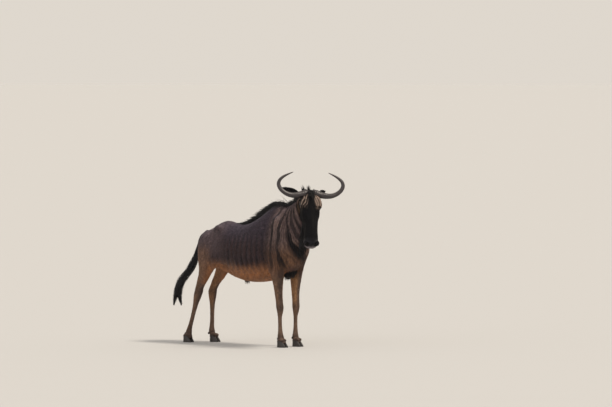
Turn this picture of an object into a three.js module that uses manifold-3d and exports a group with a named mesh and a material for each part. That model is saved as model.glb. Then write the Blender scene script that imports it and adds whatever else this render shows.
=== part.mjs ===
// A life-size blue wildebeest bull, standing with its head turned to its right.
// Millimetres, +Z up, the animal faces -Y and its left side is +X. Its eight claws stand on z = 0.
import * as THREE from "three";
import Module from "manifold-3d";

const wasm = await Module();
wasm.setup();

// Driving sizes, and the gap left where two pieces touch.
const GAP = 0.3;
const ORIGIN = { forward: 99, left: -78 };
const BODY_SIDES = 26;
const NECK_SIDES = 26;
const HEAD_SIDES = 26;
const LIMB_SIDES = 14;
const CLAW_SIDES = 10;
const HORN_SIDES = 10;

// The trunk in upright slices: forward, top, bottom, level of its widest point, half width,
// and how full its upper and lower halves are, where 2 is an ellipse.
const TRUNK = [
  [-655, 1000, 900, 945, 25, 2, 2],
  [-642, 1036, 862, 945, 68, 2, 2],
  [-610, 1068, 820, 940, 110, 2, 2],
  [-555, 1098, 778, 932, 158, 2, 2],
  [-480, 1134, 742, 925, 192, 1.9, 2],
  [-400, 1178, 715, 915, 206, 1.8, 2],
  [-325, 1196, 692, 905, 212, 1.75, 2.1],
  [-235, 1174, 662, 890, 216, 1.8, 2.2],
  [-120, 1162, 628, 870, 234, 1.8, 2.3],
  [0, 1186, 608, 858, 248, 1.75, 2.3],
  [120, 1243, 608, 868, 250, 1.65, 2.2],
  [230, 1318, 622, 890, 240, 1.5, 2.1],
  [330, 1368, 640, 915, 222, 1.4, 2],
  [410, 1378, 675, 935, 205, 1.4, 2],
  [490, 1362, 700, 945, 185, 1.45, 1.9],
  [570, 1318, 738, 960, 148, 1.55, 1.7],
  [635, 1245, 800, 985, 102, 1.7, 1.6],
  [682, 1165, 866, 1000, 58, 2, 1.8],
  [705, 1090, 920, 1010, 24, 2, 2],
];

// The neck in slices along its middle line: station, forward, right, height, slope and turn of
// the slice in degrees, half width, reach up and down, fullness up and down.
const NECK = [
  [0, 420, 0, 1075, 25, 0, 150, 246, 290, 1.6, 2],
  [0.25, 522, 10, 1128, 28, 5, 138, 226, 255, 1.6, 2],
  [0.5, 616, 32, 1192, 28, 12, 118, 196, 205, 1.7, 2],
  [0.75, 704, 68, 1268, 20, 22, 100, 160, 170, 1.8, 2],
  [1, 780, 108, 1342, 6, 32, 88, 124, 140, 1.9, 2],
  [1.12, 818, 126, 1372, 0, 36, 70, 96, 110, 2, 2],
];

// The head hangs from the crown of its skull.
const HEAD = { forward: 876, right: 142, up: 1482, turn: 38, pitch: 73, roll: -2 };

// The head in slices from crown to lips: distance, face side, throat side, level of its widest
// point, half width, fullness of the face side and of the throat side.
const SKULL = [
  [-28, -8, -48, -28, 20, 2, 2],
  [-18, 18, -84, -32, 48, 2, 2],
  [10, 44, -130, -38, 74, 2.2, 2],
  [55, 58, -166, -30, 86, 2.3, 2],
  [108, 63, -184, -14, 92, 2.4, 1.9],
  [152, 62, -187, -24, 86, 2.4, 1.9],
  [200, 60, -176, -36, 80, 2.4, 1.9],
  [252, 60, -150, -32, 76, 2.3, 1.9],
  [310, 61, -116, -18, 72, 2.3, 2],
  [367, 61, -94, -10, 70, 2.3, 2.1],
  [420, 59, -82, -8, 70, 2.3, 2.2],
  [463, 54, -77, -10, 70, 2.3, 2.3],
  [497, 44, -72, -12, 66, 2.3, 2.3],
  [521, 28, -60, -14, 54, 2.2, 2.2],
  [533, 10, -46, -16, 36, 2, 2],
  [537, -4, -32, -18, 18, 2, 2],
];
const EYE = { down: 118, side: 84, face: 14, radius: 21 };
const LID_BULGE = [24, 46, 34];
const LID_OPENING = [14, 19, 10];
const EAR_LENGTH = 205;

// A horn's middle line beside the crown: outward, up, forward, radius.
const HORN = [
  [26, 4, -4, 38],
  [52, 5, 6, 37],
  [86, -3, 14, 33.5],
  [126, -11, 22, 29.5],
  [168, -14, 28, 26],
  [208, -8, 30, 23.5],
  [247, 8, 27, 21.5],
  [280, 33, 21, 20.5],
  [302, 64, 14, 19.5],
  [308, 95, 8, 18],
  [297, 126, 2, 16],
  [270, 153, -4, 13.5],
  [236, 174, -8, 10.5],
  [201, 191, -10, 7],
  [168, 205, -12, 3],
];

// A foreleg in level slices: height, front, back, distance from the midline, half width.
const FORELEG = [
  [42, 518, 452, 100, 30],
  [72, 494, 434, 101, 29],
  [104, 484, 420, 103, 31],
  [136, 474, 426, 105, 27],
  [200, 470, 428, 107, 21],
  [290, 470, 426, 109, 22],
  [340, 482, 420, 110, 31],
  [385, 488, 412, 112, 36],
  [425, 484, 410, 114, 35],
  [500, 480, 400, 117, 36],
  [580, 484, 390, 121, 41],
  [650, 494, 374, 126, 49],
  [720, 508, 350, 131, 62],
  [800, 528, 334, 135, 74],
  [900, 580, 336, 134, 83],
  [1000, 592, 340, 125, 80],
  [1090, 556, 344, 112, 70],
  [1180, 510, 344, 96, 55],
  [1235, 476, 358, 84, 40],
  [1258, 446, 388, 78, 18],
];

// A hind leg in level slices, with the forward places counted from a hock that stands at zero.
const HIND_LEG = [
  [42, 52, -16, 104, 29],
  [72, 30, -34, 105, 28],
  [104, 22, -44, 107, 30],
  [136, 14, -38, 108, 27],
  [200, 16, -30, 110, 22],
  [300, 20, -28, 113, 22],
  [380, 28, -32, 116, 27],
  [440, 42, -42, 118, 34],
  [490, 50, -46, 120, 36],
  [530, 58, -34, 122, 35],
  [580, 86, -14, 124, 39],
  [650, 144, 10, 128, 52],
  [730, 208, 26, 132, 68],
  [810, 262, 16, 134, 82],
  [900, 292, 6, 130, 90],
  [980, 284, 4, 120, 88],
  [1040, 252, 30, 106, 76],
  [1080, 208, 64, 90, 54],
  [1098, 176, 96, 80, 24],
];
// Where each hock stands, and how far its foot is set ahead of or behind it.
const HIND_STANCE = {
  right: { hock: -625, foot: -170 },
  left: { hock: -672, foot: 20 },
};
const HOCK_HEIGHT = 500;
const HIP = { forward: -610, up: 1000 };

// A claw in level slices: height, front, back, half width. Zero is under the fetlock.
const CLAW = [
  [0, 88, -12, 17.5],
  [14, 84, -14, 18.5],
  [34, 68, -12, 18],
  [56, 50, -8, 16.5],
  [66, 42, 0, 13],
];
const CLAW_SPREAD = 19.5;
const DEWCLAW = { up: 86, sunk: 3, apart: 17, sizes: [9, 13, 14] };

// The tail's middle line: forward, right, height, radius of the tail with its hair.
const TAIL = [
  [-585, 0, 1078, 26],
  [-642, 4, 1068, 22],
  [-688, 20, 1015, 17],
  [-714, 32, 930, 17],
  [-730, 48, 830, 34],
  [-776, 79, 715, 44],
  [-830, 122, 625, 46],
  [-858, 156, 540, 38],
  [-880, 174, 460, 24],
  [-892, 183, 396, 12],
  [-898, 186, 356, 3],
];

// Reads a smooth curve through rows of numbers, whose first column rises, at one station.
function readRows(rows, station) {
  const last = rows.length - 1;
  let low = 0;
  while (low < last - 1 && rows[low + 1][0] <= station) low += 1;
  const slope = (k, column) => {
    const before = rows[Math.max(k - 1, 0)];
    const after = rows[Math.min(k + 1, last)];
    return (after[column] - before[column]) / (after[0] - before[0]);
  };
  const [a, b] = [rows[low], rows[low + 1]];
  const span = b[0] - a[0];
  const t = (station - a[0]) / span;
  return a.map((value, column) => {
    const rise = b[column] - value;
    const leave = slope(low, column) * span;
    const arrive = slope(low + 1, column) * span;
    return value + t * leave + t * t * (3 * rise - 2 * leave - arrive)
      + t * t * t * (leave + arrive - 2 * rise);
  });
}

// Stations at every row and at even steps between the rows.
function stationsOf(rows, steps) {
  const between = (row, next) =>
    Array.from({ length: steps }, (_, k) => row[0] + (k / steps) * (next[0] - row[0]));
  return [...rows.slice(0, -1).flatMap((row, k) => between(row, rows[k + 1])), rows.at(-1)[0]];
}

// A point of the model, from its distances forward, to the right and up.
function place(forward, right, up) {
  return new THREE.Vector3(-right - ORIGIN.left, ORIGIN.forward - forward, up);
}

// A point on a rounded section at an angle from its right-hand side, counted upwards.
function onSection({ centre, across, upward, half, top, bottom, fullTop, fullBottom }, angle) {
  const c = Math.cos(angle);
  const s = Math.sin(angle);
  const power = 2 / (s > 0 ? fullTop : fullBottom);
  const side = half * Math.sign(c) * Math.abs(c) ** power;
  const rise = (s > 0 ? top : bottom) * Math.sign(s) * Math.abs(s) ** power;
  return centre.clone().addScaledVector(across, side).addScaledVector(upward, rise);
}

function ringOf(section, sides) {
  return Array.from({ length: sides }, (_, k) => onSection(section, (2 * Math.PI * k) / sides));
}

// A closed solid through a row of rings that have the same number of points. Its flat ends are
// moved out by the amount that it is grown.
function solidThrough(given, grow = 0) {
  const sides = given[0].length;
  const middle = (ring) =>
    ring.reduce((sum, p) => sum.add(p), new THREE.Vector3()).divideScalar(sides);
  const pushed = (ring, inner) => {
    const out = middle(ring).sub(middle(inner)).normalize();
    return ring.map((p) => p.clone().addScaledVector(out, grow));
  };
  const rings = [
    pushed(given[0], given[1]), ...given.slice(1, -1), pushed(given.at(-1), given.at(-2)),
  ];
  const points = [...rings.flat(), middle(rings[0]), middle(rings.at(-1))];
  const [nearEnd, farEnd] = [points.length - 2, points.length - 1];
  const faces = [];
  for (let k = 0; k < sides; k += 1) {
    const next = (k + 1) % sides;
    for (let r = 0; r < rings.length - 1; r += 1) {
      const [a, b] = [r * sides + k, r * sides + next];
      faces.push([a, b, b + sides], [a, b + sides, a + sides]);
    }
    const top = (rings.length - 1) * sides;
    faces.push([nearEnd, next, k], [farEnd, top + k, top + next]);
  }
  return solidOf(points, faces);
}

// A solid from points and triangles, turned so that its faces point out.
function solidOf(points, faces) {
  const volume = faces.reduce((sum, [a, b, c]) =>
    sum + points[a].dot(points[b].clone().cross(points[c])), 0);
  const outward = volume > 0 ? faces : faces.map(([a, b, c]) => [a, c, b]);
  return new wasm.Manifold(new wasm.Mesh({
    numProp: 3,
    vertProperties: new Float32Array(points.flatMap((p) => p.toArray())),
    triVerts: new Uint32Array(outward.flat()),
  }));
}

// A three.js sphere or other closed geometry as a solid, after a matrix is applied to it.
function solidFrom(geometry, matrix) {
  const source = geometry.clone().applyMatrix4(matrix);
  const position = source.getAttribute("position");
  const seen = new Map();
  const points = [];
  const places = Array.from({ length: position.count }, (_, k) => {
    const p = new THREE.Vector3().fromBufferAttribute(position, k);
    const key = p.toArray().map((value) => Math.round(value * 1e3)).join();
    if (!seen.has(key)) seen.set(key, points.push(p) - 1);
    return seen.get(key);
  });
  const order = source.index ? [...source.index.array] : places.map((_, k) => k);
  const faces = [];
  for (let k = 0; k < order.length; k += 3) {
    const face = [places[order[k]], places[order[k + 1]], places[order[k + 2]]];
    if (new Set(face).size === 3) faces.push(face);
  }
  return solidOf(points, faces);
}

// An ellipsoid from its centre, three half sizes and the axes that they lie along.
function ellipsoid(centre, sizes, axes, detail = 10) {
  const matrix = new THREE.Matrix4().makeBasis(...axes.map((axis, k) =>
    axis.clone().multiplyScalar(sizes[k]))).setPosition(centre);
  return solidFrom(new THREE.SphereGeometry(1, 2 * detail, detail), matrix);
}

// Joins solids, and keeps the largest closed surface of what remains after a cut.
const join = (...solids) => wasm.Manifold.union(solids);
const cut = (solid, ...tools) => largest(wasm.Manifold.difference([solid, ...tools]));
function largest(solid) {
  return solid.decompose().reduce((best, piece) => (piece.volume() > best.volume() ? piece : best));
}

const RIGHT = new THREE.Vector3(-1, 0, 0);
const FORWARD = new THREE.Vector3(0, -1, 0);
const UP = new THREE.Vector3(0, 0, 1);

// Trunk.
function trunkSection(station, grow = 0) {
  const [forward, top, bottom, level, half, fullTop, fullBottom] = readRows(TRUNK, station);
  return {
    centre: place(forward, 0, level), across: RIGHT, upward: UP, half: half + grow,
    top: top - level + grow, bottom: level - bottom + grow, fullTop, fullBottom,
  };
}

function trunk(grow = 0) {
  const rings = stationsOf(TRUNK, 1).map((s) => ringOf(trunkSection(s, grow), BODY_SIDES));
  return solidThrough(rings, grow);
}

// Neck.
function neckSection(station, grow = 0) {
  const row = readRows(NECK, station);
  const [, forward, right, up, slope, turn, half, top, bottom, fullTop, fullBottom] = row;
  const facing = new THREE.Euler(
    THREE.MathUtils.degToRad(slope), 0, THREE.MathUtils.degToRad(-turn), "ZXY",
  );
  facing.x *= -1;
  return {
    centre: place(forward, right, up), across: RIGHT.clone().applyEuler(facing),
    upward: UP.clone().applyEuler(facing), half: half + grow,
    top: top + grow, bottom: bottom + grow, fullTop, fullBottom,
  };
}

function neck(grow = 0) {
  const rings = stationsOf(NECK, 2).map((s) => ringOf(neckSection(s, grow), NECK_SIDES));
  return solidThrough(rings, grow);
}

// Head. Its axes run from the crown down to the lips, to the animal's right, and out of the face.
const headTurn = new THREE.Quaternion().setFromAxisAngle(UP, THREE.MathUtils.degToRad(-HEAD.turn));
const heading = FORWARD.clone().applyQuaternion(headTurn);
const headRoll = new THREE.Quaternion()
  .setFromAxisAngle(heading, THREE.MathUtils.degToRad(HEAD.roll));
const headRight = RIGHT.clone().applyQuaternion(headTurn).applyQuaternion(headRoll);
const headPlumb = UP.clone().applyQuaternion(headRoll);
const headPitch = new THREE.Quaternion()
  .setFromAxisAngle(headRight, THREE.MathUtils.degToRad(-HEAD.pitch));
const headDown = heading.clone().applyQuaternion(headPitch);
const headFace = headPlumb.clone().applyQuaternion(headPitch);
const crown = place(HEAD.forward, HEAD.right, HEAD.up);

function onHead(down, right, face) {
  return crown.clone().addScaledVector(headDown, down).addScaledVector(headRight, right)
    .addScaledVector(headFace, face);
}

function skull(grow = 0) {
  const section = (station) => {
    const [down, face, throat, level, half, fullTop, fullBottom] = readRows(SKULL, station);
    return {
      centre: onHead(down, 0, level), across: headRight, upward: headFace, half: half + grow,
      top: face - level + grow, bottom: level - throat + grow, fullTop, fullBottom,
    };
  };
  return solidThrough(stationsOf(SKULL, 1).map((s) => ringOf(section(s), HEAD_SIDES)), grow);
}

function eyeball(side, grow = 0) {
  const centre = onHead(EYE.down, side * EYE.side, EYE.face);
  const size = EYE.radius + grow;
  return ellipsoid(centre, [size, size, size], [headRight, headDown, headFace], 7);
}

// The bulge of the lids round an eye, and the almond opening between them.
function lids(side) {
  const out = headRight.clone().multiplyScalar(side).addScaledVector(headFace, 0.35).normalize();
  const along = headDown.clone().addScaledVector(headFace, -0.3).normalize();
  const over = out.clone().cross(along).normalize();
  const centre = onHead(EYE.down, side * EYE.side, EYE.face);
  return {
    bulge: ellipsoid(centre, LID_BULGE, [out, along, over], 8),
    opening: ellipsoid(centre.clone().addScaledVector(out, EYE.radius + 2), LID_OPENING,
      [out, along, over], 5),
  };
}

// A horn or the tail: a round tube along a smooth line, with its own radius at each row.
function tube(rows, at, steps, sides, grow = 0) {
  const numbered = rows.map((row, k) => [k, ...row]);
  const stations = stationsOf(numbered, steps);
  const line = stations.map((s) => readRows(numbered, s));
  const centres = line.map(([, a, b, c]) => at(a, b, c));
  let across = null;
  const rings = centres.map((centre, k) => {
    const ahead = centres[Math.min(k + 1, centres.length - 1)];
    const behind = centres[Math.max(k - 1, 0)];
    const axis = ahead.clone().sub(behind).normalize();
    const start = across ?? new THREE.Vector3(0.2, 0.4, 1);
    across = start.clone().addScaledVector(axis, -start.dot(axis)).normalize();
    const upward = axis.clone().cross(across);
    const radius = line[k][4] + grow;
    return ringOf({
      centre, across, upward, half: radius, top: radius, bottom: radius, fullTop: 2, fullBottom: 2,
    }, sides);
  });
  return solidThrough(rings, grow);
}

function horn(side, grow = 0) {
  const at = (outward, up, forward) => crown.clone()
    .addScaledVector(headRight, side * outward).addScaledVector(headPlumb, up - 13)
    .addScaledVector(heading, forward);
  return tube(HORN, at, 2, HORN_SIDES, grow);
}

// An ear: a pointed leaf, folded into a cup along its length.
function ear(side, tip, grow = 0) {
  const root = crown.clone().addScaledVector(headRight, side * 74)
    .addScaledVector(headPlumb, -34).addScaledVector(heading, -62);
  const end = crown.clone().addScaledVector(headRight, side * tip.out)
    .addScaledVector(headPlumb, tip.up).addScaledVector(heading, tip.forward);
  const axis = end.clone().sub(root).normalize();
  const open = heading.clone().addScaledVector(headPlumb, -0.25);
  open.addScaledVector(axis, -open.dot(axis)).normalize();
  const across = axis.clone().cross(open);
  const rows = [
    [0, 20, 14, 0], [0.16, 24, 18, 0.1], [0.3, 33, 20, 0.55], [0.48, 37, 20, 0.72],
    [0.66, 31, 17, 0.74], [0.82, 20, 12, 0.7], [0.93, 10, 7, 0.4], [1, 3, 3, 0],
  ];
  const rings = rows.map(([along, half, depth, hollow]) => {
    const centre = root.clone().addScaledVector(axis, along * EAR_LENGTH);
    return Array.from({ length: LIMB_SIDES }, (_, k) => {
      const angle = (2 * Math.PI * k) / LIMB_SIDES;
      const dip = Math.sin(angle) > 0 ? 1 - 2 * hollow * Math.sin(angle) : 1;
      return centre.clone().addScaledVector(across, (half + grow) * Math.cos(angle))
        .addScaledVector(open, (depth + grow) * Math.sin(angle) * dip);
    });
  });
  return solidThrough(rings, grow);
}

// The shell of the muzzle just under its skin, kept out of the groove between the lips.
function mouthGroove() {
  const middle = onHead(500, 0, -44);
  const tilt = headFace.clone().addScaledVector(headDown, 0.12).normalize();
  const along = headRight.clone().cross(tilt).normalize();
  const matrix = new THREE.Matrix4().makeBasis(headRight, along, tilt).setPosition(middle);
  return cut(solidFrom(new THREE.BoxGeometry(200, 150, 5), matrix), skull(-7));
}

function nostril(side) {
  const centre = onHead(533, side * 34, 26);
  const axis = headRight.clone().multiplyScalar(side).addScaledVector(headFace, 0.9)
    .addScaledVector(headDown, -0.5).normalize();
  const depth = headDown.clone().addScaledVector(headFace, 0.6).addScaledVector(axis, -0.2);
  depth.addScaledVector(axis, -depth.dot(axis)).normalize();
  return ellipsoid(centre, [19, 14, 7], [axis, depth, axis.clone().cross(depth)], 6);
}

// Legs. Each level slice is read as a section whose upper half is the front of the leg.
const LEGS = {
  front: { rows: FORELEG, shift: () => 0 },
  hind: {
    rows: HIND_LEG,
    shift: (side, up) => {
      const { hock, foot } = side > 0 ? HIND_STANCE.right : HIND_STANCE.left;
      const thigh = Math.min(1, (up - HOCK_HEIGHT) / (HIP.up - HOCK_HEIGHT));
      return up < HOCK_HEIGHT
        ? hock + foot * (1 - up / HOCK_HEIGHT) : hock + (HIP.forward - hock) * thigh;
    },
  },
};

function legSlice(end, side, up) {
  const { rows, shift } = LEGS[end];
  const [, front, back, apart, half] = readRows(rows, up);
  const move = shift(side, up);
  return { front: front + move, back: back + move, right: side * apart, half };
}

function leg(end, side, grow = 0) {
  const rings = LEGS[end].rows.map(([up]) => {
    const { front, back, right, half } = legSlice(end, side, up);
    const reach = (front - back) / 2 + grow;
    return ringOf({
      centre: place((front + back) / 2, right, up), across: RIGHT, upward: FORWARD,
      half: half + grow, top: reach, bottom: reach, fullTop: 2.1, fullBottom: 1.9,
    }, LIMB_SIDES);
  });
  return solidThrough(rings, grow);
}

function claw(forward, right, side, grow = 0) {
  const rings = CLAW.map(([up, front, back, half]) => {
    const reach = (front - back) / 2 + grow;
    return ringOf({
      centre: place(forward + (front + back) / 2, right + side * CLAW_SPREAD, up),
      across: RIGHT, upward: FORWARD, half: half + grow, top: reach, bottom: reach,
      fullTop: 1.7, fullBottom: 2.6,
    }, CLAW_SIDES);
  });
  return solidThrough(rings, grow);
}

// Hair. A strand starts under the skin at its root, stands up along one direction and then bends
// over into another. A row of hair gives the strand at a place from 0 to 1 along the row, with its
// root moved to one side or the other.
const SINK = 16;
function strandPoint({ root, rise, fall, length }, along) {
  const start = root.clone().addScaledVector(rise, -SINK);
  const bend = root.clone().addScaledVector(rise, length * 0.45);
  const tip = bend.clone().addScaledVector(fall, length * 0.6);
  return new THREE.QuadraticBezierCurve3(start, bend, tip).getPoint(along);
}

const blend = (...pairs) => pairs.reduce((sum, [axis, share]) =>
  sum.addScaledVector(axis, share), new THREE.Vector3()).normalize();
const mix = (from, to, along) => from + (to - from) * along;
const swell = (along) => Math.sin(Math.PI * along);

const backMane = (along, shift) => ({
  root: onSection(trunkSection(mix(-150, 395, along)), Math.PI / 2 + 0.03 * shift),
  rise: blend([UP, 0.7], [FORWARD, -0.75]), fall: blend([FORWARD, -1], [UP, -0.2]),
  length: mix(60, 112, swell(along)),
});
const crest = (along, shift) => {
  const section = neckSection(mix(0.08, 1.04, along));
  return {
    root: onSection(section, Math.PI / 2 + 0.1 * shift),
    rise: blend([section.upward, 0.8], [RIGHT, -0.6]),
    fall: blend([UP, -1], [RIGHT, -0.3], [FORWARD, -0.3]), length: mix(170, 250, swell(along)),
  };
};
const poll = (along, shift) => {
  const section = neckSection(mix(0.35, 1.02, along));
  return {
    root: onSection(section, Math.PI / 2 - 0.12 + 0.1 * shift),
    rise: blend([section.upward, 1], [FORWARD, -0.35]),
    fall: blend([FORWARD, -1], [UP, 0.25 * shift]), length: mix(70, 95, swell(along)),
  };
};
const beard = (along, shift) => {
  const section = neckSection(mix(0.32, 1.02, along));
  return {
    root: onSection(section, -Math.PI / 2 + 0.2 * shift),
    rise: blend([section.upward, -1], [UP, -0.3]), fall: blend([UP, -1], [FORWARD, -0.1]),
    length: mix(110, 180, along),
  };
};
const brisket = (along, shift) => ({
  root: onSection(trunkSection(mix(410, 600, along)), -Math.PI / 2 + 0.2 * shift),
  rise: blend([UP, -1]), fall: blend([UP, -1], [FORWARD, -0.35]), length: mix(24, 52, swell(along)),
});
const sheath = (along, shift) => ({
  root: onSection(trunkSection(mix(-120, -70, along)), -Math.PI / 2 + 0.04 * shift),
  rise: blend([UP, -1]), fall: blend([UP, -1], [FORWARD, 0.4]), length: 42,
});
const forelock = (along, shift) => ({
  root: onHead(mix(-6, 34, along), 22 * shift, mix(20, 42, along)),
  rise: blend([headPlumb, 0.8], [heading, 0.7]), fall: blend([headDown, 1], [headFace, 0.2]),
  length: 84,
});

// Numbers between -1 and 1 that come out the same each time.
let seed = 11;
function jitter() {
  seed = (seed * 16807) % 2147483647;
  return seed / 1073741823.5 - 1;
}

// A flat lock with four sides along a path, which narrows to its tip.
function lock(path, width, thickness, facing, places = [0, 0.35, 0.7, 1]) {
  return solidThrough(places.map((v) => {
    const axis = path(Math.min(v + 0.02, 1)).sub(path(Math.max(v - 0.02, 0))).normalize();
    const across = axis.clone().cross(facing).normalize();
    const out = across.clone().cross(axis);
    const taper = Math.max((1 - v) ** 0.6, 0.08);
    const corner = (w, t) => path(v).addScaledVector(across, w * taper * width / 2)
      .addScaledVector(out, t * Math.max(taper * thickness, 0.8) / 2);
    return [corner(1, 0), corner(0, 1), corner(-1, 0), corner(0, -1)];
  }));
}

// A row of locks, each a little different from the next.
function locks(row, count, width, thickness) {
  return Array.from({ length: count }, (_, k) => {
    const along = Math.min(Math.max((k + 0.5 + 0.4 * jitter()) / count, 0), 1);
    const strand = row(along, jitter());
    const sweep = row(Math.min(along + 0.05, 1), 0).root.sub(row(Math.max(along - 0.05, 0), 0).root);
    sweep.normalize();
    const side = sweep.clone().cross(strand.rise.clone().add(strand.fall)).normalize();
    strand.length *= 1 + 0.22 * jitter();
    strand.fall.addScaledVector(side, 0.16 * jitter()).addScaledVector(sweep, 0.25 * jitter());
    strand.fall.normalize();
    const facing = side.addScaledVector(sweep, 0.35 * jitter()).normalize();
    return lock((v) => strandPoint(strand, v), width * (1 + 0.25 * jitter()), thickness, facing);
  });
}

// The tail: its dock, and locks that run down its middle line and spread to the tail's width.
const tailRows = TAIL.map((row, k) => [k, ...row]);
function tailPoint(station, angle) {
  const [, forward, right, up, radius] = readRows(tailRows, station);
  return place(
    forward + Math.cos(angle) * radius * 0.75, right + Math.sin(angle) * radius * 0.75, up,
  );
}
function tailLocks(count) {
  return Array.from({ length: count }, (_, k) => {
    const angle = k * 2.4;
    const start = 3.1 + 2.4 * ((k * 0.618) % 1);
    const end = Math.min(start + 3.4 + 0.8 * jitter(), 8.6 + 0.35 * jitter());
    const path = (v) => tailPoint(mix(start, end, v), angle).lerp(
      tailPoint(start, 0).lerp(tailPoint(start, Math.PI), 0.5), (1 - v) ** 6,
    );
    const facing = blend([FORWARD, Math.cos(angle)], [RIGHT, Math.sin(angle)]);
    return lock(path, 30, 13, facing, [0, 0.2, 0.45, 0.75, 1]);
  });
}
function tail(grow = 0) {
  const dock = TAIL.slice(0, 7).map(([forward, right, up, radius], k) =>
    [forward, right, up, k < 4 ? radius : [15, 12, 6][k - 4]]);
  return tube(dock, place, 1, HORN_SIDES, grow);
}

const SIDES = { right: 1, left: -1 };
const EAR_TIPS = {
  right: { out: 290, up: 50, forward: -110 },
  left: { out: 180, up: 14, forward: -235 },
};
const feet = {
  front_right: { forward: 440, right: 100 },
  front_left: { forward: 452, right: -100 },
  hind_right: { forward: -812, right: 104 },
  hind_left: { forward: -655, right: -104 },
};

// Shapes, each cut clear of the ones that it takes in.
const pieces = {};
const shades = {};
function add(name, solid, shade) {
  pieces[name] = solid;
  shades[name] = shade;
}

const COAT = { color: 0x4a3b38, roughness: 0.8 };
const LEG_COAT = { color: 0x6b4f3c, roughness: 0.8 };
const BLACK_HAIR = { color: 0x14110f, roughness: 0.7 };
const HORN_SHADE = { color: 0x3a3231, roughness: 0.45 };
const HOOF_SHADE = { color: 0x1c1815, roughness: 0.5 };
const EYE_SHADE = { color: 0x120a06, roughness: 0.08 };

const sides = Object.entries(SIDES);
const growLegs = sides.flatMap(([, side]) => [leg("front", side, GAP), leg("hind", side, GAP)]);
const growHorns = sides.map(([, side]) => horn(side, GAP));
const growEars = sides.map(([name, side]) => ear(side, EAR_TIPS[name], GAP));
const growEyes = sides.map(([, side]) => eyeball(side, GAP));
const lidForms = sides.map(([, side]) => lids(side));

const neckHair = cut(join(
  neck(-6), ...locks(crest, 18, 48, 12), ...locks(poll, 7, 28, 9), ...locks(beard, 13, 40, 11),
), trunk(GAP));
add("torso", cut(
  join(trunk(), ...locks(backMane, 18, 44, 11), ...locks(brisket, 7, 30, 10),
    ...locks(sheath, 3, 18, 8)),
  neck(GAP), ...growLegs, tail(GAP),
), COAT);
add("neck", cut(
  join(neck(), neckHair), skull(GAP), ...growLegs, ...growHorns, ...growEars,
), COAT);
add("head", cut(
  join(skull(), ...locks(forelock, 6, 22, 8), ...lidForms.map((form) => form.bulge)),
  ...growEyes, ...lidForms.map((form) => form.opening), ...growHorns, ...growEars,
  mouthGroove(), ...sides.map(([, side]) => nostril(side)),
), BLACK_HAIR);
add("tail", cut(join(tail(), ...tailLocks(10)), ...growLegs), BLACK_HAIR);

for (const [name, side] of sides) {
  add(`eye_${name}`, eyeball(side), EYE_SHADE);
  add(`horn_${name}`, cut(horn(side)), HORN_SHADE);
  add(`ear_${name}`, cut(ear(side, EAR_TIPS[name]), ...growHorns), COAT);
  for (const end of Object.keys(LEGS)) {
    const { forward, right } = feet[`${end}_${name}`];
    const claws = [["inner", -side], ["outer", side]];
    const heel = legSlice(end, side, DEWCLAW.up);
    const dewclaws = claws.map(([, way]) => ellipsoid(
      place(heel.back + DEWCLAW.sunk, heel.right + way * DEWCLAW.apart, DEWCLAW.up),
      DEWCLAW.sizes, [RIGHT, FORWARD, UP], 4,
    ));
    add(`leg_${end}_${name}`, cut(
      join(leg(end, side), ...dewclaws), ...claws.map(([, way]) => claw(forward, right, way, GAP)),
    ), LEG_COAT);
    for (const [where, way] of claws) {
      add(`hoof_${end}_${name}_${where}`, claw(forward, right, way), HOOF_SHADE);
    }
  }
}

// The finished group of named meshes.
function meshOf(name) {
  const { vertProperties, triVerts } = pieces[name].getMesh();
  const geometry = new THREE.BufferGeometry();
  geometry.setAttribute("position", new THREE.BufferAttribute(vertProperties, 3));
  geometry.setIndex(new THREE.BufferAttribute(triVerts, 1));
  geometry.computeVertexNormals();
  const mesh = new THREE.Mesh(geometry, new THREE.MeshStandardMaterial(shades[name]));
  mesh.name = name;
  return mesh;
}

const wildebeest = new THREE.Group();
wildebeest.add(...Object.keys(pieces).map(meshOf));
export default wildebeest;
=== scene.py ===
# %% [markdown]
# A life-size blue wildebeest bull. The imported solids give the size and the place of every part. This
# lesson makes what the eye sees: one skin over the whole animal, short hair that lies flat on it,
# long black hair in locks, and the bare pieces of horn, hoof and eye.

import math
from functools import partial

import bpy
import numpy as np
from mathutils.bvhtree import BVHTree
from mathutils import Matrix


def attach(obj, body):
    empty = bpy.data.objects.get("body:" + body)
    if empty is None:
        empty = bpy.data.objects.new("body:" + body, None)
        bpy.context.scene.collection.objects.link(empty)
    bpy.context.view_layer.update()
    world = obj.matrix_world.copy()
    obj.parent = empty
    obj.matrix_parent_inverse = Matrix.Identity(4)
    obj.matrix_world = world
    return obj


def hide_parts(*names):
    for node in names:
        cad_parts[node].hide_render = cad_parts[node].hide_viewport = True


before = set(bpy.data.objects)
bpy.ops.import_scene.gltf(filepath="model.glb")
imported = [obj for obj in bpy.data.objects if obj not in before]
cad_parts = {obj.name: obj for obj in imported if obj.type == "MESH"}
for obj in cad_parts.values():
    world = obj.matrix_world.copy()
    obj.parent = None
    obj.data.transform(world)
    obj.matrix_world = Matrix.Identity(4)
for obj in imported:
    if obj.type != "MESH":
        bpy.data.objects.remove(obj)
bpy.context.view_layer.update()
print("nodes in the frame:", len(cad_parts))

# %% [markdown]
# Every size is written in millimetres, as a taxidermist would measure the animal: forward of a point
# of the back, to its right, and up from the floor. One function turns these into the frame's metres,
# where the animal faces -Y and its left side is +X.

# %% Places on the animal
MM = 0.001
ORIGIN_FORWARD, ORIGIN_LEFT = 99, -78


def place(forward, right, up):
    """Points of the frame in metres, from millimetres forward, right and up."""
    parts = np.broadcast_arrays(-np.asarray(right, float) - ORIGIN_LEFT,
                                ORIGIN_FORWARD - np.asarray(forward, float), np.asarray(up, float))
    return np.stack(parts, -1) * MM


def measure(points):
    """Forward, right and up in millimetres, the other way round from place."""
    x, y, z = (points / MM).T
    return ORIGIN_FORWARD - y, -x - ORIGIN_LEFT, z


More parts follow.
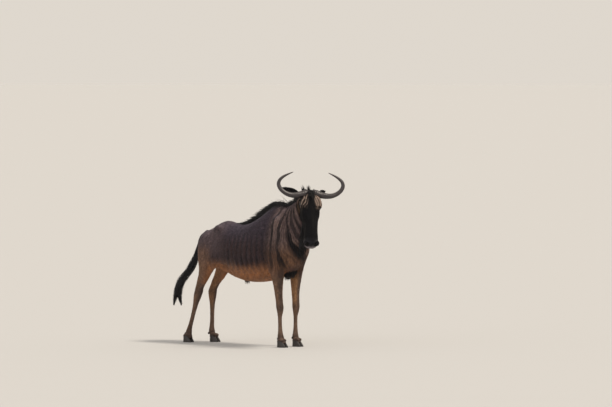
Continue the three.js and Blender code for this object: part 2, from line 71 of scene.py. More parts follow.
def unit(vectors):
    vectors = np.asarray(vectors, float)
    return vectors / np.maximum(np.linalg.norm(vectors, axis=-1, keepdims=True), 1e-9)


def turned(vector, axis, degrees):
    """A vector turned about a unit axis by the right-hand rule."""
    c, s = math.cos(math.radians(degrees)), math.sin(math.radians(degrees))
    return vector * c + np.cross(axis, vector) * s + axis * np.dot(axis, vector) * (1 - c)


RIGHT, FORWARD, UP = np.array([-1.0, 0, 0]), np.array([0, -1.0, 0]), np.array([0, 0, 1.0])

# %% [markdown]
# The picture was taken from far away with a long lens, from the animal's front right, a little above
# its back. The lens and the distance give the animal its size in the frame, and the small downward
# tilt puts the horizon where the photo has it.

# %% The camera
FRAME_WIDTH_PX = 612
FOCAL_PX = 4320
SENSOR_MM = 36
CAMERA_DISTANCE = 41.5
CAMERA_HEIGHT = 2.547
CAMERA_TILT_DEGREES = 1.637
CAMERA_SIDE = 0.502
FAR_CLIP = 4000

camera_data = bpy.data.cameras.new("camera")
camera_data.sensor_width = SENSOR_MM
camera_data.lens = FOCAL_PX / FRAME_WIDTH_PX * SENSOR_MM
camera_data.clip_end = FAR_CLIP
camera = bpy.data.objects.new("camera", camera_data)
bpy.context.scene.collection.objects.link(camera)
bpy.context.scene.camera = camera

toward_camera = unit(RIGHT * 0.731 + FORWARD * 0.682)
picture_right = np.cross(UP, toward_camera)
camera.location = (place(0, 0, 0) + toward_camera * CAMERA_DISTANCE
                   + picture_right * CAMERA_SIDE + UP * CAMERA_HEIGHT)
camera.rotation_euler = (math.radians(90 - CAMERA_TILT_DEGREES), 0,
                         math.atan2(toward_camera[0], -toward_camera[1]))
print("camera lens in mm:", round(camera_data.lens, 1))

# %% [markdown]
# A body like this is easiest to describe as a sculptor's armature does: cross-sections along a line.
# Each row gives one slice, and a smooth curve runs through the rows. The slices are rounded boxes
# whose upper and lower halves can be fuller or leaner than an ellipse, because a bull's withers are a
# narrow ridge while its belly is a barrel.

# %% Sections and the surface through them
def read_rows(rows, stations):
    """A smooth curve through rows of numbers, whose first column rises, at given stations."""
    rows, stations = np.asarray(rows, float), np.atleast_1d(stations)
    first = rows[:, 0]
    order = np.arange(len(first))
    before, after = np.maximum(order - 1, 0), np.minimum(order + 1, len(first) - 1)
    slope = (rows[after] - rows[before]) / (first[after] - first[before])[:, None]
    low = np.clip(np.searchsorted(first, stations, side="right") - 1, 0, len(first) - 2)
    span = (first[low + 1] - first[low])[:, None]
    x = np.clip((stations[:, None] - first[low][:, None]) / span, 0, 1)
    start, rise = rows[low], rows[low + 1] - rows[low]
    leave, arrive = slope[low] * span, slope[low + 1] * span
    return (start + x * leave + x**2 * (3 * rise - 2 * leave - arrive)
            + x**3 * (leave + arrive - 2 * rise))


def between_rows(rows, steps):
    """Stations at every row and at even steps between the rows."""
    first = np.array([row[0] for row in rows], float)
    return np.interp(np.arange((len(first) - 1) * steps + 1) / steps, np.arange(len(first)), first)


def on_sections(centre, across, upward, half, top, bottom, full_top, full_bottom, angle):
    """Points on rounded sections, at an angle from the right-hand side, counted upwards."""
    c, s = np.cos(angle), np.sin(angle)
    power = 2 / np.where(s > 0, full_top, full_bottom)
    side = half * np.sign(c) * np.abs(c) ** power
    rise = np.where(s > 0, top, bottom) * np.sign(s) * np.abs(s) ** power
    return centre + (side[..., None] * across + rise[..., None] * upward) * MM


def rings_of(section, stations, sides):
    """One ring of points for each station, from a function that describes the sections there."""
    angle = np.linspace(0, 2 * np.pi, sides, endpoint=False)
    parts = section(stations)
    vectors = [part[:, None, :] for part in parts[:3]]
    numbers = [np.broadcast_to(part, len(stations))[:, None] for part in parts[3:]]
    return on_sections(*vectors, *numbers, angle[None])


def closed_surface(rings):
    """Vertices and faces of the closed surface through rings of the same number of points."""
    count, sides = rings.shape[:2]
    points = np.concatenate([rings.reshape(-1, 3), rings[:1].mean(1), rings[-1:].mean(1)])
    a = np.arange(count * sides).reshape(count, sides)
    b = np.roll(a, -1, 1)
    faces = np.stack([a[:-1], b[:-1], b[1:], a[1:]], -1).reshape(-1, 4).tolist()
    ends = [[count * sides, b[0, k], a[0, k]] for k in range(sides)]
    ends += [[count * sides + 1, a[-1, k], b[-1, k]] for k in range(sides)]
    return points, faces + [[int(i) for i in face] for face in ends]


def numbered(rows):
    """The same rows, each with its own number in front as its station."""
    return [[k, *row] for k, row in enumerate(rows)]


def joined(surfaces):
    """Several closed surfaces as one list of vertices and one of faces."""
    points, faces, shift = [], [], 0
    for vertices, polygons in surfaces:
        points.append(vertices)
        faces += [[index + shift for index in face] for face in polygons]
        shift += len(vertices)
    return np.concatenate(points), faces


def new_object(name, points, faces, smooth=True):
    mesh = bpy.data.meshes.new(name)
    mesh.from_pydata(points.tolist(), [], faces)
    mesh.update()
    mesh.shade_smooth() if smooth else mesh.shade_flat()
    piece = bpy.data.objects.new(name, mesh)
    bpy.context.scene.collection.objects.link(piece)
    return piece


# %% [markdown]
# The trunk of a wildebeest is high and narrow at the withers and falls away to a low rump. Its rows
# give, at each place forward: top, bottom, level of the widest point, half width and the two
# fullnesses.

# %% Trunk, neck and head
TRUNK = [
    [-655, 1000, 900, 945, 25, 2, 2],
    [-642, 1036, 862, 945, 68, 2, 2],
    [-610, 1068, 820, 940, 110, 2, 2],
    [-555, 1098, 778, 932, 158, 2, 2],
    [-480, 1134, 742, 925, 192, 1.9, 2],
    [-400, 1178, 715, 915, 206, 1.8, 2],
    [-325, 1196, 692, 905, 212, 1.75, 2.1],
    [-235, 1174, 662, 890, 216, 1.8, 2.2],
    [-120, 1162, 628, 870, 234, 1.8, 2.3],
    [0, 1186, 608, 858, 248, 1.75, 2.3],
    [120, 1243, 608, 868, 250, 1.65, 2.2],
    [230, 1318, 622, 890, 240, 1.5, 2.1],
    [330, 1368, 640, 915, 222, 1.4, 2],
    [410, 1378, 675, 935, 205, 1.4, 2],
    [490, 1362, 700, 945, 185, 1.45, 1.9],
    [570, 1318, 738, 960, 148, 1.55, 1.7],
    [635, 1245, 800, 985, 102, 1.7, 1.6],
    [682, 1165, 866, 1000, 58, 2, 1.8],
    [705, 1090, 920, 1010, 24, 2, 2],
]


def trunk_sections(stations, grow=0):
    forward, top, bottom, level, half, full_top, full_bottom = read_rows(TRUNK, stations).T
    count = len(forward)
    return (place(forward, 0, level), np.tile(RIGHT, (count, 1)), np.tile(UP, (count, 1)),
            half + grow, top - level + grow, level - bottom + grow, full_top, full_bottom)


# Station, forward, right, height, slope and turn, half width, reach up and down, and fullness.
NECK = [
    [0, 420, 0, 1075, 25, 0, 150, 246, 290, 1.6, 2],
    [0.25, 522, 10, 1128, 28, 5, 138, 226, 255, 1.6, 2],
    [0.5, 616, 32, 1192, 28, 12, 118, 196, 205, 1.7, 2],
    [0.75, 704, 68, 1268, 20, 22, 100, 160, 170, 1.8, 2],
    [1, 780, 108, 1342, 6, 32, 88, 124, 140, 1.9, 2],
    [1.12, 818, 126, 1372, 0, 36, 70, 96, 110, 2, 2],
]


def neck_sections(stations, grow=0):
    rows = read_rows(NECK, stations)
    _, forward, right, up, slope, turn, half, top, bottom, full_top, full_bottom = rows.T
    across, upward = [], []
    for tilt, twist in zip(slope, turn):
        across.append(turned(RIGHT, UP, -twist))
        upward.append(turned(turned(UP, RIGHT, tilt), UP, -twist))
    return (place(forward, right, up), np.array(across), np.array(upward),
            half + grow, top + grow, bottom + grow, full_top, full_bottom)


# The head hangs from its crown, turned to the animal's right and pitched steeply down.
CROWN = place(876, 142, 1482)
heading = turned(FORWARD, UP, -38)
HEAD_ROLL, HEAD_PITCH = -2, 73
head_right = turned(turned(RIGHT, UP, -38), heading, HEAD_ROLL)
head_plumb = turned(UP, heading, HEAD_ROLL)
head_down = turned(heading, head_right, -HEAD_PITCH)
head_face = turned(head_plumb, head_right, -HEAD_PITCH)

# Distance from crown to lips, face side, throat side, level of the widest point, half width, fullness.
SKULL = [
    [-28, -8, -48, -28, 20, 2, 2],
    [-18, 18, -84, -32, 48, 2, 2],
    [10, 44, -130, -38, 74, 2.2, 2],
    [55, 58, -166, -30, 86, 2.3, 2],
    [108, 63, -184, -14, 92, 2.4, 1.9],
    [152, 62, -187, -24, 86, 2.4, 1.9],
    [200, 60, -176, -36, 80, 2.4, 1.9],
    [252, 60, -150, -32, 76, 2.3, 1.9],
    [310, 61, -116, -18, 72, 2.3, 2],
    [367, 61, -94, -10, 70, 2.3, 2.1],
    [420, 59, -82, -8, 70, 2.3, 2.2],
    [463, 54, -77, -10, 70, 2.3, 2.3],
    [497, 44, -72, -12, 66, 2.3, 2.3],
    [521, 28, -60, -14, 54, 2.2, 2.2],
    [533, 10, -46, -16, 36, 2, 2],
    [537, -4, -32, -18, 18, 2, 2],
]


def on_head(down, right, face):
    parts = np.broadcast_arrays(*(np.asarray(v, float)[..., None] for v in (down, right, face)))
    return CROWN + (parts[0] * head_down + parts[1] * head_right + parts[2] * head_face) * MM


def in_head(points):
    """The other way round from on_head: down, right and face in millimetres."""
    offset = (points - CROWN) / MM
    return offset @ head_down, offset @ head_right, offset @ head_face


def skull_sections(stations, grow=0):
    down, face, throat, level, half, full_top, full_bottom = read_rows(SKULL, stations).T
    count = len(down)
    return (on_head(down, 0, level), np.tile(head_right, (count, 1)), np.tile(head_face, (count, 1)),
            half + grow, face - level + grow, level - throat + grow, full_top, full_bottom)


print("head faces", np.round(head_face, 2))

# %% [markdown]
# A leg is read in level slices: height, front, back, distance from the middle and half width. Seen
# from the side it is the tendon behind the cannon bone, the broad knee, and the point of the hock
# that make it a real leg, so these have rows of their own.

# %% Legs and tail
FORELEG = [
    [42, 518, 452, 100, 30], [72, 494, 434, 101, 29], [104, 484, 420, 103, 31],
    [136, 474, 426, 105, 27], [200, 470, 428, 107, 21], [290, 470, 426, 109, 22],
    [340, 482, 420, 110, 31], [385, 488, 412, 112, 36], [425, 484, 410, 114, 35],
    [500, 480, 400, 117, 36], [580, 484, 390, 121, 41], [650, 494, 374, 126, 49],
    [720, 508, 350, 131, 62], [800, 528, 334, 135, 74], [900, 580, 336, 134, 83],
    [1000, 592, 340, 125, 80], [1090, 556, 344, 112, 70], [1180, 510, 344, 96, 55],
    [1235, 476, 358, 84, 40], [1258, 446, 388, 78, 18],
]
HIND_LEG = [
    [42, 52, -16, 104, 29], [72, 30, -34, 105, 28], [104, 22, -44, 107, 30],
    [136, 14, -38, 108, 27], [200, 16, -30, 110, 22], [300, 20, -28, 113, 22],
    [380, 28, -32, 116, 27], [440, 42, -42, 118, 34], [490, 50, -46, 120, 36],
    [530, 58, -34, 122, 35], [580, 86, -14, 124, 39], [650, 144, 10, 128, 52],
    [730, 208, 26, 132, 68], [810, 262, 16, 134, 82], [900, 292, 6, 130, 90],
    [980, 284, 4, 120, 88], [1040, 252, 30, 106, 76], [1080, 208, 64, 90, 54],
    [1098, 176, 96, 80, 24],
]
HIND_STANCE = {"right": (-625, -170), "left": (-672, 20)}
HOCK_HEIGHT = 500
HIP_FORWARD, HIP_HEIGHT = -610, 1000
SIDES = {"right": 1, "left": -1}


def leg_shift(end, name, up):
    """How far a leg's slices stand ahead of where its rows say, by the way that it is set."""
    if end == "front":
        return np.zeros_like(up)
    hock, foot = HIND_STANCE[name]
    thigh = np.minimum(1, (up - HOCK_HEIGHT) / (HIP_HEIGHT - HOCK_HEIGHT))
    return np.where(up < HOCK_HEIGHT, hock + foot * (1 - up / HOCK_HEIGHT),
                    hock + (HIP_FORWARD - hock) * thigh)


def leg_rows(end, name, stations):
    rows = FORELEG if end == "front" else HIND_LEG
    up, front, back, apart, half = read_rows(rows, stations).T
    move = leg_shift(end, name, up)
    return up, front + move, back + move, apart * SIDES[name], half


def leg_sections(end, name, grow=0):
    def sections(stations):
        up, front, back, right, half = leg_rows(end, name, stations)
        reach = (front - back) / 2 + grow
        count = len(up)
        return (place((front + back) / 2, right, up), np.tile(RIGHT, (count, 1)),
                np.tile(FORWARD, (count, 1)), half + grow, reach, reach, 2.1, 1.9)
    return sections


TAIL = [
    [-585, 0, 1078, 26], [-642, 4, 1068, 22], [-688, 20, 1015, 17], [-714, 32, 930, 17],
    [-730, 48, 830, 34], [-776, 79, 715, 44], [-830, 122, 625, 46], [-858, 156, 540, 38],
    [-880, 174, 460, 24], [-892, 183, 396, 12], [-898, 186, 356, 3],
]
DOCK_RADII = [26, 22, 17, 17, 15, 12, 6]


def tube_rings(line, radius, sides):
    """Rings across a line of points, each turned as little as possible from the one before."""
    axis = unit(np.gradient(line, axis=0))
    across = [unit(np.cross(axis[0], [0.3, 0.5, 0.8]))]
    for direction in axis[1:]:
        across.append(unit(across[-1] - direction * np.dot(across[-1], direction)))
    across = np.array(across)
    angle = np.linspace(0, 2 * np.pi, sides, endpoint=False)[None, :, None]
    around = np.cos(angle) * across[:, None] + np.sin(angle) * np.cross(axis, across)[:, None]
    return line[:, None] + around * np.asarray(radius)[:, None, None] * MM


print("leg rows:", len(FORELEG), "and", len(HIND_LEG))

# %% [markdown]
# Under the skin, bone and muscle show: the points of the hips, the shoulder blade and its muscle,
# the cheek, and the ridge over each eye. Each is an egg pressed half into the body. A voxel remesh
# then melts all the closed forms into one, as clay over an armature, and smoothing rounds the joins.
# A subdivision cage would give neater faces, but five trunks that meet in one body are hard to cage
# by hand, and hair covers the faces anyway.

# %% One closed skin
COAT_DEPTH = {"trunk": -6, "neck": -7, "skull": -2, "leg": -3}
VOXEL = 4.5 * MM
trunk_skin = partial(trunk_sections, grow=COAT_DEPTH["trunk"])
neck_skin = partial(neck_sections, grow=COAT_DEPTH["neck"])
skull_skin = partial(skull_sections, grow=COAT_DEPTH["skull"])
BODY_AXES = (FORWARD, RIGHT, UP)
HEAD_AXES = (head_right, head_down, head_face)


def egg(centre, sizes, axes, rings=16, sides=24):
    """A closed egg with its poles along the first of three axes."""
    polar = np.linspace(0.05, np.pi - 0.05, rings)
    angle = np.linspace(0, 2 * np.pi, sides, endpoint=False)
    a, b, c = (np.asarray(axis) * size * MM for axis, size in zip(axes, sizes))
    ring = np.cos(angle)[:, None] * b + np.sin(angle)[:, None] * c
    return closed_surface(centre - np.cos(polar)[:, None, None] * a
                          + np.sin(polar)[:, None, None] * ring[None])


EYE_DOWN, EYE_SIDE, EYE_FACE, EYE_RADIUS = 118, 84, 14, 21


def eye_axes(side):
    out = unit(head_right * side + head_face * 0.35)
    along = unit(head_down - head_face * 0.3)
    over = unit(np.cross(out, along))
    return out, unit(np.cross(over, out)), over


muscles = []
for side in SIDES.values():
    muscles += [
        egg(on_head(EYE_DOWN, side * EYE_SIDE, EYE_FACE), (22, 46, 33), eye_axes(side)),
        egg(on_head(182, side * 70, -10), (18, 84, 34), HEAD_AXES),
        egg(on_head(80, side * 66, 34), (30, 40, 18), HEAD_AXES),
        egg(on_head(190, side * 56, -104), (26, 78, 62), HEAD_AXES),
        egg(on_head(490, side * 40, 12), (30, 40, 34), HEAD_AXES),
        egg(place(-345, side * 128, 1112), (60, 36, 44), BODY_AXES),
        egg(place(-590, side * 70, 1010), (44, 40, 66), BODY_AXES),
        egg(place(470, side * 118, 1070), (92, 62, 190), (FORWARD, RIGHT, unit(UP - 0.25 * FORWARD))),
        egg(place(395, side * 150, 880), (100, 62, 120), BODY_AXES),
        egg(place(-400, side * 128, 880), (150, 84, 150), BODY_AXES),
    ]

# Each foot and what its claws share: how far apart they stand, and the skin that reaches over them.
FEET = {"front_right": (440, 100), "front_left": (452, -100),
        "hind_right": (-812, 104), "hind_left": (-655, -104)}
CLAW_SPREAD = 19.5
coronets = []
for foot_forward, foot_right in FEET.values():
    for way in (-1, 1):
        across = foot_right + way * (CLAW_SPREAD - 2)
        coronets.append(egg(place(foot_forward + 26, across, 66), (36, 18, 20), BODY_AXES))
        coronets.append(egg(place(foot_forward + 2, across, 56), (17, 16, 26), BODY_AXES))

dock = numbered([[*row[:3], radius] for row, radius in zip(TAIL, DOCK_RADII)])
dock_rows = read_rows(dock, between_rows(dock, 4))
dock_line = place(dock_rows[:, 1], dock_rows[:, 2], dock_rows[:, 3])

forms = [
    closed_surface(rings_of(trunk_skin, between_rows(TRUNK, 6), 72)),
    closed_surface(rings_of(neck_skin, between_rows(NECK, 8), 64)),
    closed_surface(rings_of(skull_skin, between_rows(SKULL, 5), 64)),
    closed_surface(tube_rings(dock_line, dock_rows[:, 4] - 1, 20)),
    *[closed_surface(rings_of(leg_sections(end, name, COAT_DEPTH["leg"]),
                              between_rows(FORELEG if end == "front" else HIND_LEG, 5), 40))
      for end in ("front", "hind") for name in SIDES],
    *muscles,
    *coronets,
]


def applied(piece, kind, **settings):
    """The mesh of a piece once one modifier has done its work."""
    modifier = piece.modifiers.new(kind.lower(), kind)
    for name, value in settings.items():
        setattr(modifier, name, value)
    evaluated = piece.evaluated_get(bpy.context.evaluated_depsgraph_get())
    mesh = bpy.data.meshes.new_from_object(evaluated)
    piece.modifiers.clear()
    piece.data = mesh
    return mesh


skin = new_object("skin", *joined(forms))
skin_mesh = applied(skin, "REMESH", mode="VOXEL", voxel_size=VOXEL)
print("skin faces:", len(skin_mesh.polygons))


# %% Smooth the joins
def smoothstep(low, high, value):
    x = np.clip((value - low) / (high - low), 0, 1)
    return x * x * (3 - 2 * x)


def vertices_of(mesh):
    points = np.empty(len(mesh.vertices) * 3)
    mesh.vertices.foreach_get("co", points)
    return points.reshape(-1, 3)


def normals_of(mesh):
    normals = np.empty(len(mesh.vertices) * 3, np.float32)
    mesh.vertices.foreach_get("normal", normals)
    return normals.reshape(-1, 3).astype(float)


def move_vertices(mesh, points):
    mesh.vertices.foreach_set("co", points.astype(np.float32).ravel())
    mesh.update()


def relaxed(mesh, points, weight, rounds):
    """Moves each vertex towards the middle of its neighbours, by its own weight, several times."""
    edges = np.empty(len(mesh.edges) * 2, np.int64)
    mesh.edges.foreach_get("vertices", edges)
    a, b = edges.reshape(-1, 2).T
    one, other = np.concatenate([a, b]), np.concatenate([b, a])
    count = np.maximum(np.bincount(one, minlength=len(points)), 1)
    for _ in range(rounds):
        mean = np.stack([np.bincount(one, points[other, k], len(points)) for k in range(3)], -1)
        points = points + weight[:, None] * (mean / count[:, None] - points)
    return points


points = vertices_of(skin_mesh)
forward, right, up = measure(points)
down, lateral, face = in_head(points)
skull_near = (smoothstep(-60, -10, down) * smoothstep(640, 600, down)
              * smoothstep(-230, -150, face) * smoothstep(160, 110, np.abs(lateral)))
shoulder = smoothstep(260, 340, forward) * smoothstep(620, 720, up)
haunch = smoothstep(-180, -260, forward) * smoothstep(600, 700, up)
melt = np.clip(shoulder + haunch, 0, 1) * (1 - skull_near)
points = relaxed(skin_mesh, points, np.full(len(points), 0.5), 4)
points = relaxed(skin_mesh, points, 0.9 * melt, 90)
points = relaxed(skin_mesh, points, 0.8 * skull_near, 14)
move_vertices(skin_mesh, points)
print("smoothed vertices:", len(points))

# %% [markdown]
# The face is then modelled as a sculptor would, by pressing and pinching the clay: a slot for each
# eye with a lid round it, two wide nostrils, the line between the lips, and the hollow in front of the
# eye where the face gland lies. Pressing keeps the surface closed, where a boolean cut would leave
# ragged faces. The ribs are pressed in the same way, very shallow.

# %% Press the face and the ribs
def spot(points, centre, axes, sizes):
    """One in the middle of a rounded spot, fading to nothing at its edge."""
    offset = (points - centre) / MM
    distance = sum((offset @ axis / size) ** 2 for axis, size in zip(axes, sizes))
    return np.exp(-distance)


normals = normals_of(skin_mesh)
down, lateral, face = in_head(points)
amount = np.zeros(len(points))
for side in SIDES.values():
    out, along, over = eye_axes(side)
    centre = on_head(EYE_DOWN, side * EYE_SIDE, EYE_FACE)
    offset = (points - centre) / MM
    a, b, depth = offset @ along, offset @ over, offset @ out
    almond = np.sqrt((a / 21) ** 2 + (b / 11.5) ** 2)
    front = smoothstep(0, 12, depth)
    amount -= 15 * smoothstep(1.12, 0.8, almond) * front
    amount += 3 * np.exp(-((almond - 1.35) / 0.28) ** 2) * front
    amount -= 5 * spot(points, on_head(178, side * 80, 12), (head_down, head_face), (26, 16)) * front
    nostril_axes = (unit(head_down + 0.9 * side * head_right - 0.2 * head_face),
                    unit(head_down - 0.7 * side * head_right + 0.6 * head_face), head_face)
    nostril = on_head(508, side * 42, 34)
    amount -= 17 * spot(points, nostril, nostril_axes, (10, 19, 40))
    amount += 6 * spot(points, on_head(500, side * 56, 26), (head_down, head_face), (20, 16))
    amount -= 4 * spot(points, on_head(330, side * 74, 10), (head_down, head_face), (90, 22))
bridge = smoothstep(130, 200, down) * smoothstep(440, 360, down) * smoothstep(10, 40, face)
amount += bridge * (3 * np.exp(-(lateral / 20) ** 2)
                    - 4.5 * np.exp(-((np.abs(lateral) - 48) / 13) ** 2))
amount += 3 * spot(points, on_head(60, 0, 50), (head_right, head_down), (26, 50))
mouth = face + 44 + 0.12 * (down - 500)
at_mouth = smoothstep(410, 440, down)
amount -= 7 * np.exp(-(mouth / 3.6) ** 2) * at_mouth
amount += 3 * np.exp(-((mouth - 13) / 9) ** 2) * at_mouth
amount += 3.5 * np.exp(-((mouth + 12) / 8) ** 2) * smoothstep(450, 500, down)
forward, right, up = measure(points)
on_ribs = (smoothstep(-200, -80, forward) * smoothstep(330, 240, forward)
           * smoothstep(640, 760, up) * smoothstep(1120, 980, up))
amount += 2.2 * on_ribs * np.sin(2 * np.pi * (forward + 0.25 * up) / 62)
points = points + normals * (amount * MM)[:, None]
move_vertices(skin_mesh, points)
print("deepest press in mm:", round(float(amount.min()), 1))

# %% [markdown]
# The body needs fewer faces than the head. The faces to merge are chosen by a vertex group, which
# weighs one on the body and nothing on the head, so the head keeps its fine faces.

# %% Fewer faces on the body
FACES_KEPT, WEIGHT_LEVELS = 0.38, 4
may_merge = skin.vertex_groups.new(name="may merge")
weights = 1 - np.clip(skull_near * 1.4, 0, 1)
for level in range(1, WEIGHT_LEVELS + 1):
    chosen = np.flatnonzero(np.round(weights * WEIGHT_LEVELS).astype(int) == level)
    may_merge.add(chosen.tolist(), level / WEIGHT_LEVELS, "REPLACE")
skin_mesh = applied(skin, "DECIMATE", ratio=FACES_KEPT, vertex_group="may merge")
skin_mesh.shade_smooth()
print("skin triangles:", sum(len(p.vertices) - 2 for p in skin_mesh.polygons))

# %% [markdown]
# The coat's colour is worked out at each point from where it is on the animal, so that the skin and
# the hair over it always agree. A blue wildebeest is slate brown, paler and warmer on the legs, nearly
# black on the face, with dark bands across neck and forequarters. Painted light is added to it: a cool
# sheen on hair that faces up, warm light bounced from the ground on the belly, and painted shade and
# sunlit patches on the legs and the face. The bands waver, so a few slow waves of different lengths,
# added together, shift them.

# %% Markings
def linear(hex_colour):
    """An sRGB hex colour as linear numbers."""
    parts = np.array([int(hex_colour[k:k + 2], 16) / 255 for k in (1, 3, 5)])
    return np.where(parts <= 0.04045, parts / 12.92, ((parts + 0.055) / 1.055) ** 2.4)


def ripple(points, size, seed):
    """A smooth random pattern between about -1 and 1, with forms of about this size in metres."""
    random = np.random.default_rng(seed)
    total = np.zeros(len(points))
    for _ in range(6):
        direction = unit(random.normal(size=3))
        length = size * random.uniform(0.7, 1.5)
        total += np.sin(points @ direction * (2 * np.pi / length) + random.uniform(0, 6.28))
    return total / 3


SLATE, FLANK, RUMP = linear("#352b33"), linear("#3a2a29"), linear("#554749")
# The belly colour is painted light: warm orange for light bounced up from the ground onto the
# underside.
THIGH, BELLY_BOUNCE_LIGHT, CHEST = linear("#765b4c"), linear("#956542"), linear("#7f5d44")
# The dark leg colour is the leg's own dark at the joints and over the hooves, and also painted shade
# on the front of the legs.
SHIN, CANNON, LEG_DARK_AND_FRONT_SHADE = linear("#7d614d"), linear("#6b5648"), linear("#453832")
INNER_LEG = linear("#a27853")
BAND, PALE_BAND, RIB_BAND = linear("#0d0a0e"), linear("#937b72"), linear("#1a1317")
# The cheek colour is painted light: a sunlit tan edge on the throat side of the cheeks.
FACE, BROW, SUNLIT_CHEEK_EDGE = linear("#060508"), linear("#8d7b70"), linear("#94765e")
# The nostril colour is painted shade for the hollow of the nostrils.
NOSE, LIP, NOSTRIL_SHADE = linear("#121116"), linear("#766d72"), linear("#040404")
# The cool top colour is a painted highlight: a bluish sheen where light from above falls.
MANE_ROOT, MANE, PAINTED_TOP_SHEEN = linear("#100d0f"), linear("#0d0b0c"), linear("#6f6a7d")


def mixed(base, colour, share):
    """A share of a colour laid over the base, point by point."""
    return base + (colour - base) * np.clip(share, 0, 1)[:, None]


def head_share(points):
    """One on the head, and nothing behind it."""
    down, lateral, face = in_head(points)
    _, top, throat, level, half, _, _ = read_rows(SKULL, np.clip(down, -28, 537)).T
    rise = np.where(face > level, top - level, level - throat)
    radius = np.sqrt((lateral / (half + 12)) ** 2 + ((face - level) / (rise + 12)) ** 2)
    return smoothstep(1.3, 1.08, radius) * smoothstep(-60, -20, down)


def waves(station, length, shift=0.0):
    """Even stripes along a station, from 0 to 1."""
    return 0.5 + 0.5 * np.cos(2 * np.pi * station / length + shift)


def banded(points, colour):
    """The dark bands that hang over neck and shoulder, and the fainter ones on the ribs."""
    forward, right, up = measure(points)
    lean = 0.42 * smoothstep(500, 720, forward) * (up - 1100)
    station = forward + lean + 15 * ripple(points, 0.36, 1) + 7 * ripple(points, 0.12, 2)
    broad = waves(station, 84) * 0.66 + waves(station, 47, 1.3) * 0.34
    streaks = waves(station + 4 * ripple(points, 0.05, 7), 19) * 0.6
    dark = smoothstep(0.42, 0.6, broad)
    fore = smoothstep(300, 440, forward)
    strength = fore * smoothstep(690, 800, up) * (0.85 + 0.25 * ripple(points, 0.25, 3))
    between = mixed(PALE_BAND, CHEST, smoothstep(1040, 860, up))
    colour = mixed(colour, between, (0.9 - streaks) * strength * 0.85)
    colour = mixed(colour, BAND, dark * strength * (0.9 + 0.15 * streaks))
    rib_station = forward + 0.12 * up + 9 * ripple(points, 0.3, 10) + 4 * ripple(points, 0.09, 11)
    rib = smoothstep(0.45, 0.85, waves(rib_station, 61) * 0.75 + waves(rib_station, 37, 0.6) * 0.25)
    on_ribs = (smoothstep(-260, -60, forward) * smoothstep(420, 300, forward)
               * smoothstep(1160, 1020, up) * smoothstep(700, 800, up))
    return mixed(colour, RIB_BAND, rib * on_ribs * (0.75 + 0.3 * ripple(points, 0.2, 12)))


def leg_colour(points, normals):
    """Tan, darker at the joints and over the hooves, with painted shade on the side that faces
    forward, and warmer on the inner side.
    """
    forward, right, up = measure(points)
    # Painted shade: the side of the leg that faces forward is darkened.
    colour = mixed(SHIN, LEG_DARK_AND_FRONT_SHADE, 0.75 * smoothstep(0.2, 0.9, -normals[:, 1]))
    colour = mixed(colour, CANNON, smoothstep(460, 300, up) * 0.8)
    inner = smoothstep(0.15, 0.8, np.sign(right) * normals[:, 0])
    colour = mixed(colour, INNER_LEG, 0.75 * inner * smoothstep(240, 520, up))
    knee, hock, fetlock = (np.exp(-((up - height) / reach) ** 2)
                           for height, reach in ((390, 46), (505, 60), (100, 34)))
    joints = knee * (forward > 0) + hock * (forward < 0) + fetlock
    return mixed(colour, LEG_DARK_AND_FRONT_SHADE, 0.55 * joints + 0.8 * smoothstep(92, 60, up))


def face_colour(points):
    """Nearly black, with striped pale patches over the eyes, grey lips, painted shade in the nostrils,
    a painted sunlit tan edge on the throat side of the cheeks, and painted light and shade that make
    one brow patch lighter than the other.
    """
    down, lateral, face = in_head(points)
    # Painted light: a tan sunlit edge on the throat side of each cheek, below the ear.
    colour = mixed(FACE, SUNLIT_CHEEK_EDGE, 0.65 * smoothstep(-96, -140, face) * smoothstep(190, 110, down))
    streak = waves(np.abs(lateral) * 1.1 - 0.42 * down + 6 * ripple(points, 0.07, 4), 25)
    fray = 14 * ripple(points, 0.04, 13) + 9 * streak
    brow = (smoothstep(16, 44, down + fray) * smoothstep(186, 118, down + 1.4 * fray)
            * smoothstep(16, 34, np.abs(lateral) - 0.1 * down) * smoothstep(-56, 0, face))
    # Painted light and shade: the brow patch on the animal's right is darkened as if in shade, and the
    # one on its left is kept lighter as if sunlit.
    brow_shade_side = 0.2 * np.sign(lateral)
    pale = 0.16 + 0.84 * smoothstep(0.32, 0.6, streak - brow_shade_side) - 0.6 * brow_shade_side
    colour = mixed(colour, BROW, brow * pale)
    colour = mixed(colour, NOSE, smoothstep(430, 500, down))
    lip = np.maximum(smoothstep(452, 486, down) * smoothstep(-12, -26, face),
                     smoothstep(514, 530, down) * smoothstep(16, 0, face))
    colour = mixed(colour, LIP, lip * 0.9)
    # Painted shade: near-black in the hollow of each nostril.
    for side in SIDES.values():
        inside = spot(points, on_head(510, side * 42, 30), (head_down, head_right, head_face),
                      (12, 15, 16))
        colour = mixed(colour, NOSTRIL_SHADE, 1.6 * inside)
    return colour


